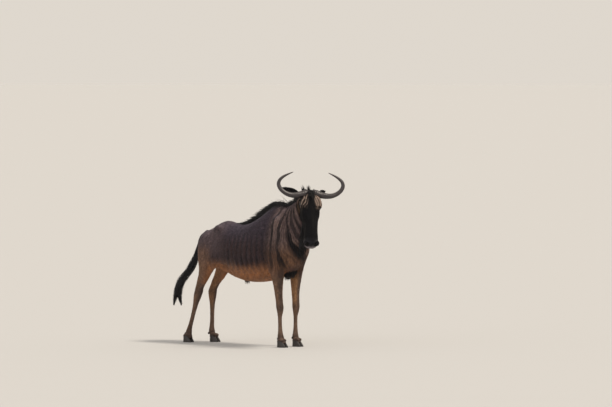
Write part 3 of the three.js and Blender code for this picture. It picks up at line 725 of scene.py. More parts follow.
def coat_colour(points, normals):
    """The colour of skin and hair at any points of the animal but its ears."""
    forward, right, up = measure(points)
    colour = mixed(SLATE, FLANK, smoothstep(1120, 900, up))
    colour = mixed(colour, RUMP, smoothstep(-150, -380, forward) * smoothstep(780, 960, up))
    colour = mixed(colour, THIGH, smoothstep(-330, -460, forward) * smoothstep(1010, 860, up))
    colour = banded(points, colour)
    # Painted light: hair that faces down, and a band along the lower belly, take a warm orange that
    # stands for light bounced up from the ground.
    under = (smoothstep(0.0, -0.7, normals[:, 2]) * smoothstep(860, 740, up)
             * smoothstep(540, 620, up))
    belly_line = 730 - 40 * smoothstep(0, 300, forward)
    colour = mixed(colour, BELLY_BOUNCE_LIGHT, under * smoothstep(560, 420, forward))
    colour = mixed(colour, BELLY_BOUNCE_LIGHT, 0.7 * smoothstep(belly_line + 75, belly_line - 45, up)
                   * smoothstep(420, 300, forward) * smoothstep(-420, -260, forward))
    on_leg = np.where(forward > 0, smoothstep(800, 640, up), smoothstep(860, 660, up))
    colour = mixed(colour, leg_colour(points, normals), on_leg * (1 - under))
    # Painted highlight: a cool sheen laid over hair that faces up on the upper body.
    colour = mixed(colour, PAINTED_TOP_SHEEN, 0.16 * smoothstep(0.35, 0.95, normals[:, 2]) * (up > 900))
    colour = mixed(colour, face_colour(points), head_share(points))
    spine = (smoothstep(64, 30, np.abs(right)) * smoothstep(0.5, 0.85, normals[:, 2])
             * smoothstep(-170, -60, forward) * smoothstep(560, 440, forward) * (up > 1000))
    colour = mixed(colour, MANE_ROOT, spine)
    colour = mixed(colour, MANE_ROOT, smoothstep(-652, -668, forward) * (up > 700))
    grain = 1 + 0.16 * ripple(points, 0.05, 5) + 0.12 * ripple(points, 0.02, 6)
    return colour * np.clip(grain, 0.6, 1.5)[:, None]


def paint(mesh, colours):
    layer = mesh.attributes.new("coat_colour", "FLOAT_COLOR", "POINT")
    data = np.ones((len(colours), 4), np.float32)
    data[:, :3] = np.clip(colours, 0, 1)
    layer.data.foreach_set("color", data.ravel())


points, normals = vertices_of(skin_mesh), normals_of(skin_mesh)
paint(skin_mesh, coat_colour(points, normals))
print("painted skin points:", len(points))

# %% [markdown]
# Hair on an animal lies away from the nose: back and down over the trunk, straight down the legs,
# and down the face. One function gives that lie anywhere, and another gives each point its place on
# a flat map of the skin, cut into one strip for each part of the body. The strips are used for the
# fine grain in the material and for the map of the tufts.

# %% The lie of the hair and a map of the skin
PARTS = ["trunk", "neck", "head", "tail", "leg_front_right", "leg_front_left",
         "leg_hind_right", "leg_hind_left"]
TRUNK_PART, NECK_PART, HEAD_PART, TAIL_PART, FIRST_LEG = range(5)
# How far round and how long each part is, in metres.
GIRTHS = np.array([1.2, 1.2, 0.45, 1.2, 0.25, 0.25, 0.25, 0.25])
REACHES = np.array([1.4, 1.4, 0.62, 1.4, 1.26, 1.26, 1.26, 1.26])


def part_of(points):
    forward, right, up = measure(points)
    part = np.zeros(len(points), int)
    part[(forward > 560) | ((forward > 430) & (up > 1120))] = NECK_PART
    part[head_share(points) > 0.5] = HEAD_PART
    for index, name in enumerate(PARTS[FIRST_LEG:], FIRST_LEG):
        end, side = name.split("_")[1:]
        limit = 700 if end == "front" else 780
        on_side = right * SIDES[side] > 0
        near = forward > 0 if end == "front" else forward < -150
        below = (up < limit) & on_side & near & ((up < 600) | (np.abs(right) > 50))
        part[below & (part != HEAD_PART)] = index
    part[(forward < -660) & (up > 700) & (np.abs(right) < 60)] = TAIL_PART
    return part


def unwrapped(points, part):
    """Around and along each part, both from 0 to 1."""
    forward, right, up = measure(points)
    down, lateral, face = in_head(points)
    around = np.arctan2(up - 900, right)
    along = (forward + 700) / 1420
    neck, head, tail = (part == index for index in (NECK_PART, HEAD_PART, TAIL_PART))
    middle = np.interp(forward, [row[1] for row in NECK], [row[3] for row in NECK])
    sideways = np.interp(forward, [row[1] for row in NECK], [row[2] for row in NECK])
    around = np.where(neck, np.arctan2(up - middle, right - sideways), around)
    along = np.where(neck, (forward - 400) / 500, along)
    around = np.where(head, np.arctan2(face + 30, lateral), around)
    along = np.where(head, (down + 60) / 620, along)
    along = np.where(tail, (up - 300) / 800, along)
    for index, name in enumerate(PARTS[FIRST_LEG:], FIRST_LEG):
        end, side = name.split("_")[1:]
        at = part == index
        if at.any():
            _, front, back, across, _ = leg_rows(end, side, np.clip(up[at], 42, 1090))
            around[at] = np.arctan2(forward[at] - (front + back) / 2, right[at] - across)
            along[at] = up[at] / 1260
    return np.stack([around / (2 * np.pi) + 0.5, np.clip(along, 0, 1)], -1)


def lie_of(points, normals, part):
    """The direction in which the hair lies, along the surface."""
    forward, right, up = measure(points)
    lie = np.tile(-FORWARD * 0.9 - UP * 0.42, (len(points), 1))
    thigh = (smoothstep(-260, -420, forward) * smoothstep(1050, 850, up))[:, None]
    lie = lie * (1 - thigh) + (-UP * 0.95 - FORWARD * 0.3) * thigh
    hanging = (0.42 * smoothstep(500, 720, forward) - 0.14)[:, None] * FORWARD - UP
    nape = smoothstep(280, 450, forward)[:, None]
    lie = lie * (1 - nape) + hanging * nape
    lie = np.where((part >= FIRST_LEG)[:, None], -UP - FORWARD * 0.12, lie)
    lie = np.where((part == HEAD_PART)[:, None], head_down * 0.9 - head_face * 0.15, lie)
    lie = lie - normals * np.sum(lie * normals, -1, keepdims=True)
    return unit(lie)


def set_vectors(mesh, name, vectors):
    layer = mesh.attributes.new(name, "FLOAT_VECTOR", "POINT")
    layer.data.foreach_set("vector", vectors.astype(np.float32).ravel())


def set_comb(mesh, points, part):
    """Stores metres round and along each part, for the fine grain in the material."""
    flat = unwrapped(points, part)
    set_vectors(mesh, "comb", np.stack([flat[:, 0] * GIRTHS[part], flat[:, 1] * REACHES[part],
                                        part * 1.7], -1))


skin_part = part_of(points)
set_comb(skin_mesh, points, skin_part)
print("points on each part:", dict(zip(PARTS, np.bincount(skin_part, minlength=8).tolist())))

# %% [markdown]
# The materials. Hair is keratin: a thin clear sheath over pigment, so it shines along a line across
# its length and is never mirror bright. Its index of refraction is 1.55 and a live coat is about 0.5
# to 0.7 rough. The coat's grain is drawn three millimetres wide, coarser than real hair, so that it
# shows at all.

# %% Nodes, and the material of the short coat
def node(tree, kind, inputs=None, **settings):
    """Adds a node with its settings, and sets or links its inputs."""
    made = tree.nodes.new(kind)
    for name, value in settings.items():
        setattr(made, name, value)
    for name, value in (inputs or {}).items():
        if isinstance(value, bpy.types.NodeSocket):
            tree.links.new(value, made.inputs[name])
        else:
            made.inputs[name].default_value = value
    return made


def start_material(name):
    material = bpy.data.materials.new(name)
    material.use_nodes = True
    tree = material.node_tree
    tree.nodes.clear()
    return material, tree


def finish_material(tree, shader):
    node(tree, "ShaderNodeOutputMaterial", {"Surface": shader.outputs["BSDF"]})


GRAIN_MM = 3.0


def coat_material(name, bump, stretch, roughness, gloss, bloom, fineness=1.0):
    """Keratin hair: the painted colour with fine pale and dark grain, stretched along the hair.

    Roughness makes the hair matt, gloss is its shine, and bloom is the pale edge of fine hair.
    """
    material, tree = start_material(name)
    across = 1 / (GRAIN_MM * MM)
    colour = node(tree, "ShaderNodeAttribute", attribute_name="coat_colour")
    comb = node(tree, "ShaderNodeAttribute", attribute_name="comb")
    drawn_out = node(tree, "ShaderNodeMapping",
                     {"Vector": comb.outputs["Vector"],
                      "Scale": (across * fineness, across / stretch, 1.0)})
    grain = node(tree, "ShaderNodeTexNoise",
                 {"Vector": drawn_out.outputs["Vector"], "Scale": 1.0, "Detail": 3.0})
    tone = node(tree, "ShaderNodeMapRange",
                {"Value": grain.outputs["Fac"], "From Min": 0.3, "From Max": 0.7,
                 "To Min": 0.72, "To Max": 1.28})
    shaded = node(tree, "ShaderNodeVectorMath", {0: colour.outputs["Color"],
                                                 1: tone.outputs["Result"]}, operation="MULTIPLY")
    relief = node(tree, "ShaderNodeBump", {"Height": grain.outputs["Fac"], "Strength": bump,
                                           "Distance": 2 * MM})
    shader = node(tree, "ShaderNodeBsdfPrincipled",
                  {"Base Color": shaded.outputs["Vector"], "Roughness": roughness, "IOR": 1.55,
                   "Normal": relief.outputs["Normal"], "Specular IOR Level": gloss,
                   "Sheen Weight": bloom, "Sheen Roughness": 0.4,
                   "Sheen Tint": (0.72, 0.76, 1.0, 1.0)})
    finish_material(tree, shader)
    return material


skin_coat = coat_material("short coat keratin", 0.5, 9, 0.6, 0.2, 0.06)
tuft_coat = coat_material("tuft keratin", 0.2, 9, 0.55, 0.2, 0.06)
face_coat = coat_material("short glossy face keratin", 0.3, 5, 0.42, 0.13, 0.0)
black_hair = coat_material("long hair keratin", 0.35, 25, 0.42, 0.3, 0.06, fineness=1.5)


def dress(piece, material, slot, *replaced):
    """Gives a piece its material, fixes it to the body and hides the solids it stands for. Its slot is
    not used.
    """
    piece.data.materials.append(material)
    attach(piece, "root")
    if replaced:
        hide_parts(*replaced)


print("coat materials:", skin_coat.name, tuft_coat.name, face_coat.name, black_hair.name)

# %% [markdown]
# Tufts of short hair. Particle hair would be the quick way, but it is lost when the model leaves
# Blender, so each tuft is a small closed blade of ten triangles: three corners at the root, three at
# the middle and one tip. All are made at once as arrays of numbers, which takes seconds where a loop
# over objects takes an hour.

# %% Make tufts from arrays
SEED = 20
random = np.random.default_rng(SEED)


def tone_of(count):
    """A little lighter or darker for each tuft or lock."""
    return random.uniform(0.78, 1.3, count)[:, None]


def hair_piece(name, points, triangles, uv, colours, material, slot):
    """One piece of hair from arrays of points, triangles, map places and colours."""
    points, triangles, uv, colours = (
        values.reshape(-1, values.shape[-1]) for values in (points, triangles, uv, colours))
    mesh = bpy.data.meshes.new(name)
    mesh.vertices.add(len(points))
    mesh.vertices.foreach_set("co", points.astype(np.float32).ravel())
    mesh.loops.add(triangles.size)
    mesh.loops.foreach_set("vertex_index", triangles.astype(np.int32).ravel())
    mesh.polygons.add(len(triangles))
    mesh.polygons.foreach_set("loop_start", np.arange(0, triangles.size, 3, dtype=np.int32))
    mesh.update(calc_edges=True)
    layer = mesh.uv_layers.new(name="OFBake")
    layer.data.foreach_set("uv", uv[triangles.ravel()].astype(np.float32).ravel())
    mesh.shade_smooth()
    piece = bpy.data.objects.new(name, mesh)
    bpy.context.scene.collection.objects.link(piece)
    paint(mesh, colours)
    dress(piece, material, slot)
    return mesh


def atlas(flat, part):
    """The place of a point of the skin on one square map, with a strip for each part."""
    column, row = part % 4, part // 4
    return np.stack([(column + 0.02 + 0.95 * flat[:, 0]) / 4, (row + 0.02 + 0.95 * flat[:, 1]) / 2],
                    -1)


PATCH = 0.003
ROOT_DEPTH = 2 * MM
TUFT_FACES = np.array([[0, 1, 4], [0, 4, 3], [1, 2, 5], [1, 5, 4], [2, 0, 3], [2, 3, 5],
                       [3, 4, 6], [4, 5, 6], [5, 3, 6], [0, 2, 1]])
TUFT_UV = np.array([[0, 0], [1, 0], [0.5, 0], [0, 0.5], [1, 0.5], [0.5, 0.5], [0.5, 1]]) * PATCH
TUFT_CORNERS = len(TUFT_UV)


def tufts(name, roots, normals, lie, length, width, lift, part, material, slot, variety=1.0,
          colours=None):
    """One piece of many closed blades: root, middle and tip follow the lie and rise by the lift."""
    count = len(roots)
    across = unit(np.cross(lie, normals))
    length, width, lift = (value[:, None] for value in (length, width, lift))
    start = roots - normals * ROOT_DEPTH
    middle = start + lie * length * 0.5 + normals * (ROOT_DEPTH + lift * 0.8)
    tip = start + lie * length + normals * (ROOT_DEPTH + lift)
    thick = width * 0.35
    points = np.stack([
        start - across * width * 0.4, start + across * width * 0.4, start + normals * thick,
        middle - across * width * 0.5, middle + across * width * 0.5, middle + normals * thick,
        tip,
    ], 1)
    faces = TUFT_FACES[None] + TUFT_CORNERS * np.arange(count)[:, None, None]
    uv = atlas(unwrapped(roots, part), part)[:, None] + TUFT_UV[None]
    colours = coat_colour(roots, normals) if colours is None else colours
    colours = np.repeat(colours * tone_of(count) ** variety, TUFT_CORNERS, axis=0)
    mesh = hair_piece(name, points, faces, uv, colours, material, slot)
    set_comb(mesh, np.repeat(roots, TUFT_CORNERS, axis=0), np.repeat(part, TUFT_CORNERS))


# %% Scatter roots over the skin
def scatter(mesh, count):
    """Even random points on the skin, with the skin's smooth normal at each."""
    mesh.calc_loop_triangles()
    corners = np.empty(len(mesh.loop_triangles) * 3, np.int32)
    mesh.loop_triangles.foreach_get("vertices", corners)
    corners = corners.reshape(-1, 3)
    points, normals = vertices_of(mesh), normals_of(mesh)
    a, b, c = (points[corners[:, k]] for k in range(3))
    area = np.linalg.norm(np.cross(b - a, c - a), axis=1) / 2
    chosen = random.choice(len(corners), count, p=area / area.sum())
    u, v = random.random((2, count))
    flip = u + v > 1
    u, v = np.where(flip, 1 - u, u), np.where(flip, 1 - v, v)
    share = np.stack([1 - u - v, u, v], -1)[..., None]
    picked = corners[chosen]
    return ((points[picked] * share).sum(1), unit((normals[picked] * share).sum(1)), area.sum())


ROOTS_TRIED = 150000
TUFT_LENGTH, TUFT_WIDTH, TUFT_LIFT = 25 * MM, 6.2 * MM, 2.4 * MM
HOOF_TOP, BARE_NOSE, BARE_ROUND_EYE = 46, 440, 27 * MM
roots, root_normals, skin_area = scatter(skin_mesh, ROOTS_TRIED)
root_up = measure(roots)[2]
on_head_share = head_share(roots)
lower_leg = smoothstep(640, 440, root_up)
wanted = 0.56 + 0.4 * lower_leg + 0.4 * on_head_share
wanted = wanted * np.where((on_head_share > 0.5) & (in_head(roots)[0] > BARE_NOSE), 0.2, 1)
eye_gap = np.minimum(*(np.linalg.norm(roots - on_head(EYE_DOWN, side * (EYE_SIDE + 16), EYE_FACE + 6),
                                      axis=1) for side in SIDES.values()))
kept = (random.random(len(roots)) < wanted) & (root_up > HOOF_TOP) & (eye_gap > BARE_ROUND_EYE)
roots, root_normals = roots[kept], root_normals[kept]
on_head_share, lower_leg = on_head_share[kept], lower_leg[kept]
root_part = part_of(roots)
root_forward, root_right, root_up = measure(roots)
count = len(roots)
lie = lie_of(roots, root_normals, root_part)
lie = unit(lie + 0.16 * random.normal(size=(count, 3)))
lie = unit(lie - root_normals * np.sum(lie * root_normals, -1, keepdims=True))
size = 1 - 0.5 * lower_leg - 0.62 * on_head_share - 0.12 * smoothstep(130, 70, root_up)
tuft_length = TUFT_LENGTH * size * random.uniform(0.75, 1.3, count)
tuft_width = (TUFT_WIDTH * (1 - 0.45 * lower_leg - 0.58 * on_head_share)
              * random.uniform(0.7, 1.3, count))
tuft_lift = (TUFT_LIFT * (size - 0.12 * lower_leg - 0.15 * on_head_share)
             * random.uniform(0.3, 1.3, count))
tuft_lift = tuft_lift * (1 - 0.55 * smoothstep(0.3, 0.9, root_normals[:, 2]))

# The trunk's hair is divided at three places along it, so that no piece grows too large.
COATS = ["coat_shoulders", "coat_neck", "coat_head", "coat_dock", "coat_forelegs",
         "coat_hind_legs", "coat_ribs", "coat_loin", "coat_rump"]
SLOTS = {"coat_head": "face_coat", "coat_forelegs": "leg_coat", "coat_hind_legs": "leg_coat"}
TRUNK_CUTS = {"coat_ribs": 260, "coat_loin": 20, "coat_rump": -220}
MOST_TUFTS = 19800
belongs = np.where(root_part < FIRST_LEG + 2, np.minimum(root_part, FIRST_LEG), FIRST_LEG + 1)
for name, behind in TRUNK_CUTS.items():
    belongs[(root_part == TRUNK_PART) & (root_forward < behind)] = COATS.index(name)
for index, name in enumerate(COATS):
    at = np.flatnonzero(belongs == index)[:MOST_TUFTS]
    on_face = name == "coat_head"
    tufts(name, roots[at], root_normals[at], lie[at], tuft_length[at], tuft_width[at],
          tuft_lift[at], root_part[at], face_coat if on_face else tuft_coat,
          SLOTS.get(name, "body_coat"), variety=0.4 if on_face else 1.0)
    print(name, len(at), "of", int((belongs == index).sum()))
print("skin area in square metres:", round(float(skin_area), 2))

# %% [markdown]
# Long hair. Mane, beard, tail and the fringe on the brisket are coarse black hair that hangs in
# locks. Each lock starts under the skin, stands up a little and bends over, which is a curve with
# three control points, and narrows to a fine tip. Locks are ribbons with four sides and six steps, so
# that they bend smoothly, and each has its own wave.

# %% Make locks from arrays
LOCK_STEPS = 6
along_lock = np.linspace(0, 1, LOCK_STEPS + 1)


def bent_paths(roots, rises, falls, lengths, sink=12.0):
    """One path for each lock: from under the skin, up along its rise, and over along its fall."""
    along = along_lock[None, :, None]
    lengths = lengths[:, None, None]
    start = (roots - rises * sink * MM)[:, None]
    bend = roots[:, None] + rises[:, None] * lengths * 0.45 * MM
    end = bend + falls[:, None] * lengths * 0.6 * MM
    return start * (1 - along) ** 2 + bend * 2 * along * (1 - along) + end * along**2


def locks(name, path, lengths, widths, facings, part, colours=MANE, thickness=0.3, wave=5.0,
          hair=black_hair, slot="long_hair", tip_glow=0.5):
    """One piece of many closed ribbons along their paths. Lengths and widths are in millimetres."""
    count = len(path)
    along = along_lock[None, :, None]
    lengths, widths = lengths[:, None, None], widths[:, None, None]
    heading_there = unit(np.gradient(path, axis=1))
    across = unit(np.cross(heading_there, facings[:, None]))
    out = np.cross(across, heading_there)
    phase, rate = random.uniform(0, 6.28, (2, count, 1, 1))
    swing = wave * along**1.3 * lengths / 150
    path = path + (across * np.sin(phase + along * (3 + rate)) * swing
                   + out * np.cos(phase * 1.7 + along * (2 + rate)) * swing * 0.6) * MM
    taper = np.maximum((1 - along) ** 0.65 * (0.55 + 0.45 * np.minimum(along * 5, 1)), 0.03)
    half = widths * taper * 0.5 * MM
    ring = np.stack([path + across * half, path + out * half * thickness,
                     path - across * half, path - out * half * thickness], 2)
    a = np.arange(LOCK_STEPS * 4).reshape(LOCK_STEPS, 4)
    b = np.roll(a, -1, 1)
    sides = np.concatenate([np.stack([a, b, b + 4], -1), np.stack([a, b + 4, a + 4], -1)])
    last = LOCK_STEPS * 4
    ends = np.array([[0, 2, 1], [0, 3, 2], [last, last + 1, last + 2], [last, last + 2, last + 3]])
    one = np.concatenate([sides.reshape(-1, 3), ends])
    faces = one[None] + (last + 4) * np.arange(count)[:, None, None]
    strip = np.stack(np.broadcast_arrays(np.array([0, 0.5, 1, 0.5])[None, :],
                                         along_lock[:, None]), -1) * PATCH
    uv = atlas(unwrapped(path[:, 1], part), part)[:, None] + strip.reshape(1, -1, 2)
    shades = colours * tone_of(count)[:, None] * (1 + tip_glow * along)
    mesh = hair_piece(name, ring, faces, uv, shades.repeat(4, 1), hair, slot)
    comb = np.zeros((count, LOCK_STEPS + 1, 4, 3))
    comb[..., 0] = np.arange(count)[:, None, None] * 0.37 + np.array([0, 0.5, 1, 1.5]) * 0.006
    comb[..., 1] = (along_lock[None, :] * lengths[:, :, 0] * MM)[..., None]
    set_vectors(mesh, "comb", comb)
    print(name, "locks:", count)


# %% Rows of long hair
def top_of(sections, stations, angle):
    """Points on sections at an angle, and the direction that is upward there."""
    parts = sections(stations)
    vectors, numbers = parts[:3], [np.broadcast_to(p, len(stations)) for p in parts[3:]]
    return on_sections(*vectors, *numbers, angle), parts[2]


def many(direction, count):
    return np.tile(unit(direction), (count, 1))


def spread(vectors, amount):
    return unit(vectors + amount * random.normal(size=vectors.shape))


def row_of_locks(name, count, sections, first, last, angle, angle_spread, rise, fall, length, width,
                 colour=MANE, scatter_by=0.16):
    """Locks rooted along a line of sections. The rise is a direction, or follows the sections' own."""
    u = (np.arange(count) + random.uniform(-0.5, 0.5, count)) / count
    stations = first + (last - first) * np.clip(u, 0, 1)
    shift = angle_spread * random.uniform(-1, 1, count)
    found, upward = top_of(sections, stations, angle + shift)
    rises = rise(upward) if callable(rise) else many(rise, count)
    falls = many(fall, count)
    lengths = length(u) * random.uniform(0.7, 1.25, count)
    widths = width * random.uniform(0.6, 1.3, count)
    paths = bent_paths(found, spread(rises, scatter_by * 0.6), spread(falls, scatter_by), lengths)
    locks(name, paths, lengths, widths, spread(many(RIGHT, count), 0.35), part_of(found), colour)


def swell(u):
    return np.sin(np.pi * np.clip(u, 0, 1))


UPWARDS = np.pi / 2
row_of_locks("mane_back", 900, trunk_skin, -170, 430, UPWARDS, 0.05,
             UP * 0.5 - FORWARD * 0.95, -FORWARD - UP * 0.42, lambda u: 58 + 50 * swell(u), 10)
row_of_locks("mane_crest_left", 560, neck_skin, 0.0, 1.06, UPWARDS, 0.12,
             lambda upward: unit(upward * 0.7 - RIGHT * 0.7 - FORWARD * 0.15),
             -UP - RIGHT * 0.3 - FORWARD * 0.3, lambda u: 170 + 75 * swell(u), 13)
row_of_locks("mane_crest_top", 420, neck_skin, -0.02, 1.04, UPWARDS - 0.08, 0.14,
             lambda upward: unit(upward * 0.6 - FORWARD * 0.7 + RIGHT * 0.15),
             -FORWARD * 0.9 - UP * 0.4, lambda u: 58 + 26 * swell(u), 9, scatter_by=0.25)
row_of_locks("mane_wisps", 70, neck_skin, 0.0, 0.42, UPWARDS, 0.25,
             UP * 0.75 - FORWARD * 0.8, -FORWARD + UP * 0.15, lambda u: 120 + 40 * u, 4,
             scatter_by=0.32)
row_of_locks("beard", 640, neck_skin, 0.26, 1.04, 0.16 - UPWARDS, 0.22,
             lambda upward: unit(-upward - UP * 0.3), -UP - FORWARD * 0.1,
             lambda u: 60 + 115 * np.clip(u, 0, 1) ** 0.8, 11)
row_of_locks("brisket_fringe", 200, trunk_skin, 405, 545, -UPWARDS, 0.32, -UP,
             -UP - FORWARD * 0.35, lambda u: 26 + 34 * swell(u), 9)
row_of_locks("sheath_tuft", 40, trunk_skin, -122, -66, -UPWARDS, 0.06, -UP,
             -UP + FORWARD * 0.4, lambda u: 20 + 24 * swell(u), 7, colour=linear("#3a2a20"))

# %% [markdown]
# On the neck, the shoulder and the throat the coat is longer than elsewhere, and hangs in flat strands
# that carry the dark bands. A straight strand would leave the round neck, so each one is combed: it
# takes a step along the lie of the hair, and is then put back on the nearest point of the skin.

# %% Comb strands over the skin
skin_tree = BVHTree.FromPolygons([tuple(p) for p in vertices_of(skin_mesh)],
                                 [tuple(p.vertices) for p in skin_mesh.polygons])


def combed_paths(start, normals, lengths, lift):
    """Paths that follow the skin along the lie of the hair, and the skin's normals under them."""
    point, normal = start.copy(), normals.copy()
    step = lengths[:, None] * MM / LOCK_STEPS
    part = part_of(start)
    path, under = [point - normal * 3 * MM], [normal]
    for k in range(LOCK_STEPS):
        point = point + lie_of(point, normal, part) * step
        nearest = [skin_tree.find_nearest(tuple(p)) for p in point]
        point = np.array([tuple(found[0]) for found in nearest])
        normal = unit(np.array([tuple(found[1]) for found in nearest]) + normal)
        path.append(point + normal * (lift * MM * ((k + 1) / LOCK_STEPS) ** 0.7)[:, None])
        under.append(normal)
    return np.stack(path, 1), np.stack(under, 1)


def combed_locks(name, chosen, lengths, widths, lift):
    paths, under = combed_paths(roots[chosen], root_normals[chosen], lengths, lift)
    colours = coat_colour(paths.reshape(-1, 3), under.reshape(-1, 3)).reshape(paths.shape)
    locks(name, paths, lengths, widths, spread(root_normals[chosen], 0.2), root_part[chosen],
          colours, hair=tuft_coat, slot="body_coat", wave=1.6, thickness=0.25, tip_glow=0.1)


STRANDS = 1600
fore_share = (smoothstep(310, 480, root_forward) * (root_part <= NECK_PART)
              * smoothstep(690, 800, root_up))
for side_name, side in SIDES.items():
    able = np.flatnonzero((fore_share > random.random(len(roots))) & (root_right * side > -10))
    chosen = random.choice(able, min(STRANDS, len(able)), replace=False)
    combed_locks(f"neck_strands_{side_name}", chosen, random.uniform(55, 120, len(chosen)),
                 random.uniform(5, 8.5, len(chosen)), random.uniform(3, 8, len(chosen)))

# %% Forelock and the spikes of the poll
def head_locks(name, rooted, lengths, rises, falls, widths, facing, sink):
    """Black locks on the head. Widths are the least and the greatest."""
    count = len(rooted)
    locks(name, bent_paths(rooted, rises, falls, lengths, sink), lengths,
          random.uniform(*widths, count), spread(many(facing, count), 0.3),
          np.full(count, HEAD_PART))


POLL_SPIKE = 62
count = 240
down_at, lateral_at = random.uniform(-14, 44, count), random.uniform(-30, 30, count)
head_locks("forelock", on_head(down_at, lateral_at, 26 + 0.45 * down_at - 0.006 * lateral_at**2),
           random.uniform(34, 80, count), spread(many(head_plumb * 0.6 + heading * 0.6, count), 0.25),
           spread(many(head_down + head_face * 0.2, count), 0.22), (5, 10), head_face, 8)
count = 170
head_locks("poll_cover", on_head(random.uniform(-27, -4, count), random.uniform(-46, 46, count),
                                 random.uniform(-64, 6, count)),
           random.uniform(34, 66, count), spread(many(head_plumb * 0.7 - heading * 0.5, count), 0.2),
           spread(many(-head_plumb * 0.5 - heading * 0.8, count), 0.2), (7, 12), -heading, 10)
for name, count, out, behind in (("poll_spike_side", 16, 66, 20), ("poll_spike_middle", 22, 12, 6)):
    rooted = (CROWN + (head_right * out + head_plumb * 8 - heading * behind) * MM
              + random.normal(0, 5, (count, 3)) * MM)
    lengths = random.uniform(0.55, 1.1, count) * POLL_SPIKE
    stand = spread(many(head_plumb + head_right * 0.22, count), 0.16)
    head_locks(name, rooted, lengths, stand, spread(stand, 0.15), (4, 8), head_face, 14)

# %% Tail hair
tail_rows = numbered(TAIL)
SECOND_TIP = (66, -36)


def tail_hair(name, count, first, last, reach, fly, parted=0.0):
    """Locks that run down beside the tail's line. A share of them is parted off into a second tip."""
    angle = random.uniform(0, 6.28, count)
    start = random.uniform(first, last, count)
    stop = np.minimum(start + reach * random.uniform(0.7, 1.15, count), len(TAIL) - 1)
    station = start[:, None] + (stop - start)[:, None] * along_lock
    rows = read_rows(tail_rows, station.ravel()).reshape(count, LOCK_STEPS + 1, 5)
    out = rows[..., 4] * random.uniform(0.2, 1.0, count)[:, None] * smoothstep(0, 0.5, along_lock)
    out = out + fly * random.random(count)[:, None] ** 3 * along_lock**2
    apart = smoothstep(6.3, 10, station) * (random.random(count) < parted)[:, None]
    line = place(rows[..., 1] + np.cos(angle)[:, None] * out + SECOND_TIP[0] * apart,
                 rows[..., 2] + np.sin(angle)[:, None] * out + SECOND_TIP[1] * apart,
                 rows[..., 3])
    total = np.linalg.norm(line[:, -1] - line[:, 0], axis=1) / MM
    facing = unit(np.cos(angle)[:, None] * FORWARD + np.sin(angle)[:, None] * RIGHT)
    locks(name, line, total, random.uniform(6, 12, count), facing, np.full(count, TAIL_PART))


tail_hair("tail_hair_dock", 320, 0.6, 3.2, 1.6, 4)
tail_hair("tail_hair_upper", 560, 2.6, 5.8, 2.8, 12)
tail_hair("tail_hair_lower", 440, 4.6, 7.0, 2.8, 9, parted=0.4)
tail_hair("tail_strand", 120, 6.2, 7.4, 3.6, 0, parted=0.55)

# %% [markdown]
# Horns are keratin over bone, grown from the base, so they carry ridges round them near the head
# and wear smooth towards the tip. A bull's horns sweep out and a little down from a thick base, then
# hook up and inwards. Each is a tube along a curve, whose radius the ridges change a little.

# %% Horns
HORN = [
    [26, 4, -4, 38], [52, 5, 6, 37], [86, -3, 14, 33.5], [126, -11, 22, 29.5], [168, -14, 28, 26],
    [208, -8, 30, 23.5], [247, 8, 27, 21.5], [280, 33, 21, 20.5], [302, 64, 14, 19.5],
    [308, 95, 8, 18], [297, 126, 2, 16], [270, 153, -4, 13.5], [236, 174, -8, 10.5],
    [201, 191, -10, 7], [168, 205, -12, 3],
]


def keratin(name, low, high, roughness, ring_mm, ring_share, relief_mm):
    """Horn or hoof: dark layered keratin, streaked along its growth and ridged across it."""
    material, tree = start_material(name)
    along = node(tree, "ShaderNodeAttribute", attribute_name="growth")
    split = node(tree, "ShaderNodeSeparateXYZ", {"Vector": along.outputs["Vector"]})
    streaks = node(tree, "ShaderNodeMapping", {"Vector": along.outputs["Vector"],
                                               "Scale": (260.0, 18.0, 260.0)})
    noise = node(tree, "ShaderNodeTexNoise",
                 {"Vector": streaks.outputs["Vector"], "Scale": 1.0, "Detail": 4.0})
    rings = node(tree, "ShaderNodeMath", {0: split.outputs["Y"], 1: 2 * math.pi / (ring_mm * MM)},
                 operation="MULTIPLY")
    wave = node(tree, "ShaderNodeMath", {0: rings.outputs["Value"]}, operation="SINE")
    height = node(tree, "ShaderNodeMath", {0: wave.outputs["Value"], 1: ring_share,
                                           2: noise.outputs["Fac"]}, operation="MULTIPLY_ADD")
    ramp = node(tree, "ShaderNodeValToRGB", {"Fac": noise.outputs["Fac"]})
    ramp.color_ramp.elements[0].position, ramp.color_ramp.elements[1].position = 0.35, 0.72
    ramp.color_ramp.elements[0].color = (*linear(low), 1)
    ramp.color_ramp.elements[1].color = (*linear(high), 1)
    relief = node(tree, "ShaderNodeBump", {"Height": height.outputs["Value"], "Strength": 0.6,
                                           "Distance": relief_mm * MM})
    shader = node(tree, "ShaderNodeBsdfPrincipled",
                  {"Base Color": ramp.outputs["Color"], "Roughness": roughness, "IOR": 1.54,
                   "Normal": relief.outputs["Normal"]})
    finish_material(tree, shader)
    return material


def set_growth(mesh, around, along, scale):
    """Stores where each vertex is round and along the growth of horn or hoof."""
    set_vectors(mesh, "growth", np.stack([np.cos(around) * scale, along, np.sin(around) * scale], -1))


